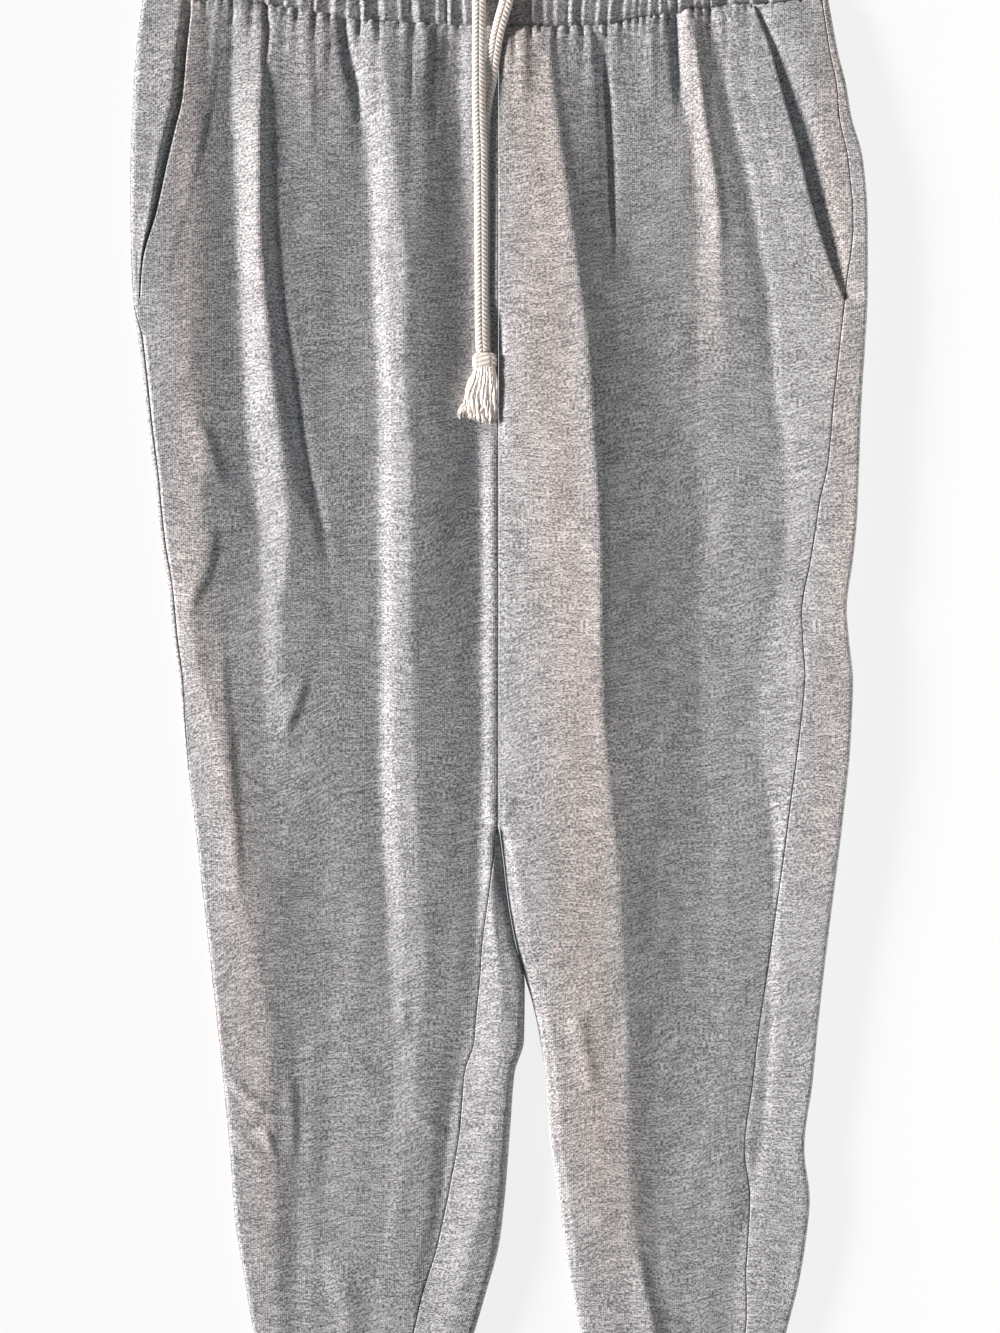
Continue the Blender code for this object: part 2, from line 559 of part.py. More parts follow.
def facing_top(section, out):
    """Height of the facing where it shows, between the pocket mouth and the outer fold."""
    table = FACING_HIGH[section.side]
    mouth = section.knots[-1][0]
    tangent = section.edge - section.radius
    at_mouth = float(column(table, 1, section.down))
    swell = float(column(table, 2, section.down))
    middle = mouth + max(0.5, 0.55 * (tangent - mouth))
    outs = (mouth - 4, mouth, middle, max(tangent, middle + 0.5))
    return float(pchip(outs, (at_mouth - 0.6, at_mouth, swell, section.edge_high), out))


def facing_rows(side):
    """Rows of keyed outer and inner points for one pocket facing."""
    outer_rows, inner_rows = [], []
    for down in row_stations():
        if down > POCKET_END - 5:
            break
        section = Section(side, down)
        mouth = section.knots[-1][0]
        tangent = section.edge - section.radius
        pairs = []
        for i, out in enumerate(spread(mouth - POCKET_UNDER, mouth - 3, 3)):
            high = 3.1 + 0.9 * (i == 2)
            pairs.append((i, section.flat(out, high, FACING)))
        if side == "left":
            last = section.edge - section.seam_inset - SEAM_GAP / 2
            outs = spread(mouth, max(last, mouth + 0.6), 5)
            angles = []
        else:
            outs = spread(mouth, max(tangent, mouth + 0.6), 4)
            stop = section.seam_angle() + math.degrees(SEAM_GAP / 2 / section.radius)
            angles = spread(90, max(stop, 5), 4)[1:] if tangent > mouth else []
        for i, out in enumerate(outs):
            wall = FACING if i == 0 else CLOTH
            pairs.append((3 + i, section.flat(out, facing_top(section, out), wall)))
        for i, angle in enumerate(angles):
            pairs.append((8 + i, section.fold(angle)))
        outer_rows.append([(float(key), pair[0]) for key, pair in pairs])
        inner_rows.append([(float(key), pair[1]) for key, pair in pairs])
    return outer_rows, inner_rows


# ---------------------------------------------------------------- mesh building

def zip_rows(mesh, first, second):
    """Join two rows of keyed vertices with quads where their keys agree, else triangles."""
    i = j = 0
    far = math.inf
    while i < len(first) - 1 or j < len(second) - 1:
        next_i = first[i + 1][0] if i < len(first) - 1 else far
        next_j = second[j + 1][0] if j < len(second) - 1 else far
        if abs(next_i - next_j) < 1e-6:
            mesh.faces.new((first[i][1], first[i + 1][1], second[j + 1][1], second[j][1]))
            i, j = i + 1, j + 1
        elif next_i < next_j:
            mesh.faces.new((first[i][1], first[i + 1][1], second[j][1]))
            i += 1
        else:
            mesh.faces.new((first[i][1], second[j + 1][1], second[j][1]))
            j += 1


def add_rows(mesh, rows, closed):
    """Add the vertices of every row; a closed row ends with its first vertex again."""
    added = []
    for row in rows:
        verts = [(key, mesh.verts.new(place)) for key, place in row]
        if closed:
            verts.append((row[-1][0] + 1.0, verts[0][1]))
        added.append(verts)
    return added


def wall_solid(name, outer_rows, inner_rows, material, closed=False):
    """A cloth wall: an outer skin, an inner skin and the rims that join them."""
    mesh = bmesh.new()
    outer = add_rows(mesh, outer_rows, closed)
    inner = add_rows(mesh, inner_rows, closed)
    for rows in (outer, inner):
        for first, second in zip(rows, rows[1:]):
            zip_rows(mesh, first, second)
    for number in (0, -1):
        zip_rows(mesh, outer[number], inner[number])
    if not closed:
        for end in (0, -1):
            for k in range(len(outer) - 1):
                mesh.faces.new((outer[k][end][1], outer[k + 1][end][1],
                                inner[k + 1][end][1], inner[k][end][1]))
    bmesh.ops.recalc_face_normals(mesh, faces=mesh.faces)
    data = bpy.data.meshes.new(name)
    mesh.to_mesh(data)
    mesh.free()
    thing = bpy.data.objects.new(name, data)
    data.materials.append(material)
    parts_collection().objects.link(thing)
    return thing


def parts_collection():
    """The collection that holds the garment's pieces."""
    return bpy.data.collections[NAME]


def make_material(name, colour, roughness):
    """A plain cloth material."""
    material = bpy.data.materials.new(name)
    material.use_nodes = True
    shader = material.node_tree.nodes["Principled BSDF"]
    shader.inputs["Base Color"].default_value = (*colour, 1)
    shader.inputs["Roughness"].default_value = roughness
    shader.inputs["Metallic"].default_value = 0.0
    material.diffuse_color = (*colour, 1)
    return material


# ---------------------------------------------------------------- the tubes

def flat_ring(across_right, across_left, high, wall, radius, place, bumps, inner_count):
    """Outer and inner points round a flattened tube; bumps raise its upper outer face.

    place(across, high) gives the point, bumps is a list of (across, extra height).
    """
    right, left = -across_right + radius, across_left - radius
    outer, inner = [], []
    for i, (across, extra) in enumerate(bumps):
        outer.append((i / (len(bumps) - 1), place(across, high + extra)))
    for i, across in enumerate(spread(right, left, inner_count)):
        inner.append((i / (inner_count - 1), place(across, high - wall)))
    for end, sign in ((left, 1), (right, -1)):
        angles = spread(90, -90, 7)[1:-1] if sign > 0 else spread(-90, 90, 7)[1:-1]
        for i, angle in enumerate(angles):
            key = (1.1 if sign > 0 else 2.1) + 0.1 * i
            cos, sin = math.cos(math.radians(angle)), math.sin(math.radians(angle))
            outer.append((key, place(end + sign * radius * cos, high / 2 * (1 + sin))))
            inner.append((key, place(end + sign * (radius - wall) * cos,
                                     high / 2 + (high / 2 - wall) * sin)))
        if sign > 0:
            for i, across in enumerate(spread(left, right, 9)):
                outer.append((1.62 + 0.05 * i, place(across, 0.0, True)))
                inner.append((1.62 + 0.05 * i, place(across, wall, True)))
    return outer, inner


def waistband(material):
    """Gathered casing with its two buttonholes."""
    outer_rows, inner_rows = [], []
    for up, right, left, high, gathered in WAISTBAND_ROWS:
        radius = 4.0
        marks = spread(-right + radius, left - radius, 2 * WAISTBAND_GATHERS + 1)
        bumps = []
        for i, across in enumerate(marks):
            lift = gathered * (0.75 + 0.25 * math.sin(1.7 * i)) * (1 if i % 2 else -0.6)
            bumps.append((across, lift if 0 < i < len(marks) - 1 else 0.0))

        def place(across, height, lower=False, up=up):
            side = "left" if across > 0 else "right"
            keep = 1 - (1 - BAND_TOP_DROP) * up / WAISTBAND_DEPTH
            down = waist_shift(side, abs(across), 0, lower) * keep - up - SEAM_GAP
            return point(1, across, down, height)

        outer, inner = flat_ring(right, left, high, WAISTBAND_WALL, radius, place, bumps, 41)
        outer_rows.append(outer)
        inner_rows.append(inner)
    band = wall_solid("waistband", outer_rows, inner_rows, material, closed=True)
    for side, across in BUTTONHOLES.items():
        cut_buttonhole(band, side, across)
    return band


def cut_buttonhole(band, side, across):
    """An oval hole through the upper wall of the waistband."""
    size_across, size_down = BUTTONHOLE_SIZE
    mesh = bmesh.new()
    bmesh.ops.create_cone(mesh, cap_ends=True, segments=16, radius1=0.5, radius2=0.5, depth=1.0)
    data = bpy.data.meshes.new("buttonhole_cutter_" + side)
    mesh.to_mesh(data)
    mesh.free()
    cutter = bpy.data.objects.new(data.name, data)
    cutter.scale = (size_across * MM, size_down * MM, 8 * MM)
    cutter.location = point(1, across, BUTTONHOLE_DOWN, 9.2)
    cutter.hide_render = True
    cutter.display_type = 'WIRE'
    bpy.data.collections["cutters"].objects.link(cutter)
    cut = band.modifiers.new("buttonhole_" + side, 'BOOLEAN')
    cut.operation = 'DIFFERENCE'
    cut.solver = 'EXACT'
    cut.object = cutter


def cuff(side, material):
    """Elastic rib cuff, an open flattened tube."""
    sign = SIDES[side]
    outer_rows, inner_rows = [], []
    for down_part, high in ((0.0, CUFF_HIGH), (0.5, CUFF_HIGH + 0.5), (1.0, CUFF_HIGH - 0.6)):
        (top_outer, top_inner), (end_outer, end_inner) = CUFFS[side]
        outer_fold = top_outer + (end_outer - top_outer) * down_part
        inner_fold = top_inner + (end_inner - top_inner) * down_part
        right, left = (outer_fold, -inner_fold) if sign < 0 else (-inner_fold, outer_fold)
        radius = 3.3
        marks = spread(-right + radius, left - radius, 2 * CUFF_RIBS + 1)
        bumps = [(across, CUFF_RIB_HIGH * (i % 2)) for i, across in enumerate(marks)]
        down = LEG_END + SEAM_GAP + (CUFF_DEPTH - SEAM_GAP) * down_part

        def place(across, height, lower=False, down=down):
            return point(1, across, down, height)

        outer, inner = flat_ring(right, left, high, CUFF_WALL, radius, place, bumps, 9)
        outer_rows.append(outer)
        inner_rows.append(inner)
    return wall_solid("cuff_" + side, outer_rows, inner_rows, material, closed=True)


# ---------------------------------------------------------------- cords

def drawcord(layer, material):
    """One braided drawcord as a flattened tube."""
    name = "drawcord_" + CORD_OWNER[layer]
    route = [point(1, *stop) for stop in CORD_ROUTES[layer]]
    wide, thick = (size / 2 * MM for size in CORD_SIZE)
    mesh = bmesh.new()
    rings = []
    for i, place in enumerate(route):
        along = (route[min(i + 1, len(route) - 1)] - route[max(i - 1, 0)]).normalized()
        aside = along.cross(Vector((0, 0, 1))).normalized()
        upward = aside.cross(along)
        ring = []
        for k in range(CORD_SIDES):
            angle = 2 * math.pi * (k + 0.5) / CORD_SIDES
            ring.append(mesh.verts.new(place + aside * wide * math.cos(angle)
                                       + upward * thick * math.sin(angle)))
        rings.append(ring)
    for first, second in zip(rings, rings[1:]):
        for k in range(CORD_SIDES):
            n = (k + 1) % CORD_SIDES
            mesh.faces.new((first[k], first[n], second[n], second[k]))
    mesh.faces.new(rings[0])
    mesh.faces.new(rings[-1])
    bmesh.ops.recalc_face_normals(mesh, faces=mesh.faces)
    data = bpy.data.meshes.new(name)
    mesh.to_mesh(data)
    mesh.free()
    data.materials.append(material)
    thing = bpy.data.objects.new(name, data)
    parts_collection().objects.link(thing)
    return thing


def tassel(layer, material):
    """Knot at the end of a cord with the cord's yarns frayed out below it."""
    name = "tassel_" + CORD_OWNER[layer]
    mesh = bmesh.new()
    across_count, high_count = STRANDS
    width, length, thick = (size / 2 for size in KNOT_SIZE)
    centre = KNOTS[layer]
    rings = 5
    grid = {}
    for r in range(rings):
        along = -1 + 2 * r / (rings - 1)
        bulge = math.sqrt(max(0.0, 1 - (0.62 * along) ** 2))
        for a in range(across_count + 1):
            for h in range(high_count + 1):
                if 0 < r < rings - 1 and 0 < a < across_count and 0 < h < high_count:
                    continue
                u, v = 2 * a / across_count - 1, 2 * h / high_count - 1
                round_u = u * math.sqrt(1 - 0.42 * v * v)
                round_v = v * math.sqrt(1 - 0.42 * u * u)
                place = point(1, centre[0] + width * bulge * round_u,
                              centre[1] + length * along, centre[2] + thick * bulge * round_v)
                grid[r, a, h] = mesh.verts.new(place)
    ends = []
    for r in (0, rings - 1):
        for a in range(across_count):
            for h in range(high_count):
                face = mesh.faces.new([grid[r, a, h], grid[r, a + 1, h],
                                       grid[r, a + 1, h + 1], grid[r, a, h + 1]])
                if r:
                    ends.append(face)
    for r in range(rings - 1):
        for a in range(across_count):
            for h in (0, high_count):
                mesh.faces.new([grid[r, a, h], grid[r, a + 1, h],
                                grid[r + 1, a + 1, h], grid[r + 1, a, h]])
        for h in range(high_count):
            for a in (0, across_count):
                mesh.faces.new([grid[r, a, h], grid[r, a, h + 1],
                                grid[r + 1, a, h + 1], grid[r + 1, a, h]])
    bmesh.ops.recalc_face_normals(mesh, faces=mesh.faces)
    bmesh.ops.inset_individual(mesh, faces=ends, thickness=0.28 * MM, use_even_offset=True)
    for number, face in enumerate(ends):
        grow_strand(mesh, face, number, layer)
    data = bpy.data.meshes.new(name)
    mesh.to_mesh(data)
    mesh.free()
    data.materials.append(material)
    thing = bpy.data.objects.new(name, data)
    parts_collection().objects.link(thing)
    return thing


def grow_strand(mesh, face, number, layer):
    """Draw one yarn of the tassel out of its face on the knot."""
    a, h = divmod(number, STRANDS[1])
    sideways = 2 * (a + 0.5) / STRANDS[0] - 1
    upward = 2 * (h + 0.5) / STRANDS[1] - 1
    reach = STRAND_LENGTH * (0.86 + 0.14 * math.sin(2.4 * a))
    steps = ((0.45, 0.55, 0.25), (0.55, 0.45, 0.75))
    for along, aside, drop in steps:
        grown = bmesh.ops.extrude_face_region(mesh, geom=[face])
        new_face = [item for item in grown["geom"] if isinstance(item, bmesh.types.BMFace)][0]
        mesh.faces.remove(face)
        settle = STRAND_SETTLE[layer] * (upward + 1) * aside
        shift = Vector(((STRAND_SPREAD[layer] * sideways + STRAND_DRIFT[layer]) * aside,
                        -reach * along, -settle - STRAND_DROP[layer] * drop)) * MM
        middle = new_face.calc_center_median()
        for vert in new_face.verts:
            vert.co = middle + (vert.co - middle) * STRAND_TAPER + shift
        face = new_face


# ---------------------------------------------------------------- build

def clear_scene():
    """Remove every object and make the two collections."""
    for thing in list(bpy.data.objects):
        bpy.data.objects.remove(thing, do_unlink=True)
    for name in (NAME, "cutters"):
        collection = bpy.data.collections.new(name)
        bpy.context.scene.collection.children.link(collection)


def main():
    """Build every piece of the garment."""
    clear_scene()
    fleece = make_material("heather_fleece", (0.36, 0.36, 0.37), 0.95)
    rib = make_material("heather_rib", (0.32, 0.32, 0.33), 0.95)
    braid = make_material("oat_braid", (0.62, 0.58, 0.53), 0.9)
    for side in SIDES:
        wall_solid("front_" + side, *front_rows(side), fleece)
        wall_solid("back_" + side, *back_rows(side), fleece)
        wall_solid("pocket_facing_" + side, *facing_rows(side), fleece)
        cuff(side, rib)
    waistband(rib)
    for layer in CORD_ROUTES:
        drawcord(layer, braid)
        tassel(layer, braid)


main()
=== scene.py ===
import math

import bmesh
import bpy
import numpy as np
from bpy.props import FloatProperty, FloatVectorProperty, IntProperty, PointerProperty
from bpy.types import Operator, Panel, PropertyGroup
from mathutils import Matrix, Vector

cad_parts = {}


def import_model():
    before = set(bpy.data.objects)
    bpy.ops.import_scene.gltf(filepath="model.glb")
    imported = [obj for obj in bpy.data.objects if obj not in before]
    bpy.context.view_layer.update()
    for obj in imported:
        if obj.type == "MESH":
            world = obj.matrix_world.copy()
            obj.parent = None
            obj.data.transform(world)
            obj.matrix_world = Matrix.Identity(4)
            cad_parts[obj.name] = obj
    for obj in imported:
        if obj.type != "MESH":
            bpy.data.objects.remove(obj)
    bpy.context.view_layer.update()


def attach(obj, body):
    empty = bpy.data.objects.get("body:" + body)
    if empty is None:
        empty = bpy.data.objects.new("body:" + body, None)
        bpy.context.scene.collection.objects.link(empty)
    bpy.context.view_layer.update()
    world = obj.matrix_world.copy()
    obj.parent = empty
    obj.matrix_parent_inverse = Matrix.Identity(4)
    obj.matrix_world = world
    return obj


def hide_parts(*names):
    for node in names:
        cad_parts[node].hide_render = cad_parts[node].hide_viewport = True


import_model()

bl_info = {
    "name": "Jogger sweatpants laid flat",
    "version": (1, 0, 0),
    "blender": (4, 5, 0),
    "location": "View3D > Sidebar > Joggers",
    "description": "Heather fleece panels, gathered waistband, rib cuffs and braided drawcords",
    "category": "Object",
}

# The garment lies in the XY plane, waist towards +Y, front towards +Z.  Lengths in the
# tables are millimetres: "down" from the waist seam at the centre front, "out" from the
# centre front, "across" from the centre front to the wearer's left, "high" from the surface.
MM = 0.001
SIDES = {"right": -1, "left": 1}
CLOTH = 1.6
SEAM_GAP = 0.3
FRONT_RISE = 509
LEG_END = 880
CUFF_DEPTH = 55
WAISTBAND_DEPTH = 45
MIDDLE = 434.9
POCKET_END = 175
CROTCH_STEP = 8
SEAM_FADE = 60          # distance down over which the curve of the waist seam dies out
BEND = ((-1.8, 0.12), (-0.9, 0.24), (0, 0.28), (0.9, 0.24), (1.8, 0.12))  # aside, share
ROLL = 0.9              # rounding of a sewn edge
ROLL_SUNK = 0.7         # how far a sewn edge turns down
CURL = 1.35             # half the thickness of the hemmed pocket mouth
POCKET_HEM = 20.0       # hem line in from the pocket mouth
EDGE_SUNK = np.array([0.1, 0.35, 0.75])     # how far the cloth dips beside a side seam
WAIST_SEAM_HIGH = 5.4   # height at which the cloth runs into the waist seam
WAIST_DIP = (0.8, 2.4)  # share of the height lost there, distance down that it takes
FACING_HIDDEN = 25      # run of a facing under the front
FACING_WALLS = (1.1, 1.3)       # under the front, in the mouth
FACING_COLUMNS = (9, 22)        # the same
FRONT_INNER_COLUMNS = 19        # on the inseam side of a leg of the left front
BACK_INNER_COLUMNS = 31         # on the inseam side of a leg of the right back
BACK_COLUMNS = 62
FRONT_WIDTH = 216       # of the upper layer of a front, shared out among its columns

WAIST_SEAM = (
    (-232, -21), (-220, -21), (-190, -16), (-166, -18), (-145, -13.5), (-127, -11),
    (-108, -7.5), (-89, -4.5), (-57, -2.5), (-17, -0.5), (6, 0), (46, 0), (69, -1), (89, -5),
    (117, -10), (144, -13.5), (161, -14), (187, -16), (203, -18), (216, -18),
)
OUTER_EDGE = {      # (down, out)
    "right": (
        (-21, 228), (13, 232.5), (54, 235), (94, 236.5), (135, 236), (174, 234.5),
        (196, 231.5), (227, 228), (251, 225.5), (287, 221), (323, 217.5), (358, 212),
        (388, 209), (419, 204.5), (450, 202), (521, 193.5), (567, 188.5), (648, 179.5),
        (720, 172.5), (761, 169.5), (796, 164), (834, 157.5), (880, 147.5),
    ),
    "left": (
        (-18, 211.5), (17, 218), (35, 222.5), (56, 226), (84, 233.5), (125, 236.5),
        (166, 236.5), (207, 234.5), (238, 232.5), (315, 229.5), (340, 227), (372, 223),
        (392, 224.5), (417, 227), (456, 225.5), (507, 220.5), (584, 211), (641, 204.5),
        (673, 201.5), (718, 196), (750, 199.5), (776, 197), (801, 193), (835, 184.5),
        (880, 174),
    ),
}
INNER_EDGE = {      # (down, out)
    "right": (
        (509, 0), (532, -3), (558, -6), (584, -10.5), (612, -17), (648, -16.5),
        (669, -10.5), (700, -8), (740, -5), (776, -1), (812, 8.5), (834, 15), (880, 31),
    ),
    "left": (
        (509, 0), (532, 3), (558, 6), (584, 10.5), (609, 17), (624, 21.5), (648, 26.5),
        (673, 30), (710, 32.5), (740, 37), (781, 42), (812, 47), (834, 52), (880, 62.5),
    ),
}
POCKET_EDGE = {     # (down, out, high)
    "right": (
        (-10, 197, 8), (14, 199.5, 8.5), (46, 202.5, 8.5), (65, 207, 8.5), (84, 211.5, 8.5),
        (116, 218.5, 8.5), (148, 227.5, 8), (175, 230, 7),
    ),
    "left": (
        (-15, 163, 8.4), (10, 173, 9.4), (43, 182, 10.4), (75, 191, 11), (110, 199.5, 11.2),
        (142, 209, 11.4), (175, 221, 11.6),
    ),
}
SIDE_SEAM = {       # (down, inset, high)
    "right": (
        (-21, 0.6, 8), (175, 0.6, 7), (200, 3.3, 6.5), (358, 3.3, 6.5), (450, 1.6, 6.5),
        (486, 0.6, 6.5), (880, 0.6, 6.5),
    ),
    "left": (
        (-18, 4.6, 9), (35, 6.5, 10.5), (84, 10, 11), (126, 9.7, 11.4), (175, 15, 11.8),
        (225, 17.5, 12), (276, 20, 11.8), (307, 25, 10.6), (348, 27.5, 9.4), (409, 30.5, 10.4),
        (488, 34.5, 9.8), (577, 35.5, 7.6), (675, 38.5, 7.2), (740, 38.5, 7.2), (791, 36, 7.3),
        (834, 26.5, 7.5), (880, 21.5, 7),
    ),
}
INSEAM = {          # (down, inset)
    "right": (
        (517, 3.4), (530, 6), (558, 12.5), (584, 20.5), (612, 29), (660, 32), (700, 32),
        (740, 35.5), (776, 39), (812, 40.5), (834, 39), (880, 34.5),
    ),
    "left": ((517, 3.4), (584, 16), (640, 30), (760, 32), (880, 26)),
}
OUTER_FOLD = {      # (down, radius, high)
    "right": ((-21, 4, 8), (60, 5, 8.5), (175, 4.2, 7), (300, 3.5, 6.5), (880, 3.5, 6.5)),
    "left": (
        (-18, 3.2, 8.5), (60, 2.4, 11), (220, 2.3, 13), (460, 2.3, 13.4), (540, 2.3, 12),
        (600, 2.3, 10.6), (700, 2.4, 10), (880, 2.6, 7.6),
    ),
}
INNER_FOLD = {      # (down, radius, high)
    "right": (
        (509, 2.4, 5.5), (530, 4, 7), (584, 5.5, 9.2), (700, 5.5, 10.8), (820, 5, 10),
        (880, 4.5, 6.8),
    ),
    "left": ((509, 2.4, 5.5), (530, 4, 7), (584, 5, 8.5), (700, 5, 8.5), (880, 4.5, 7)),
}
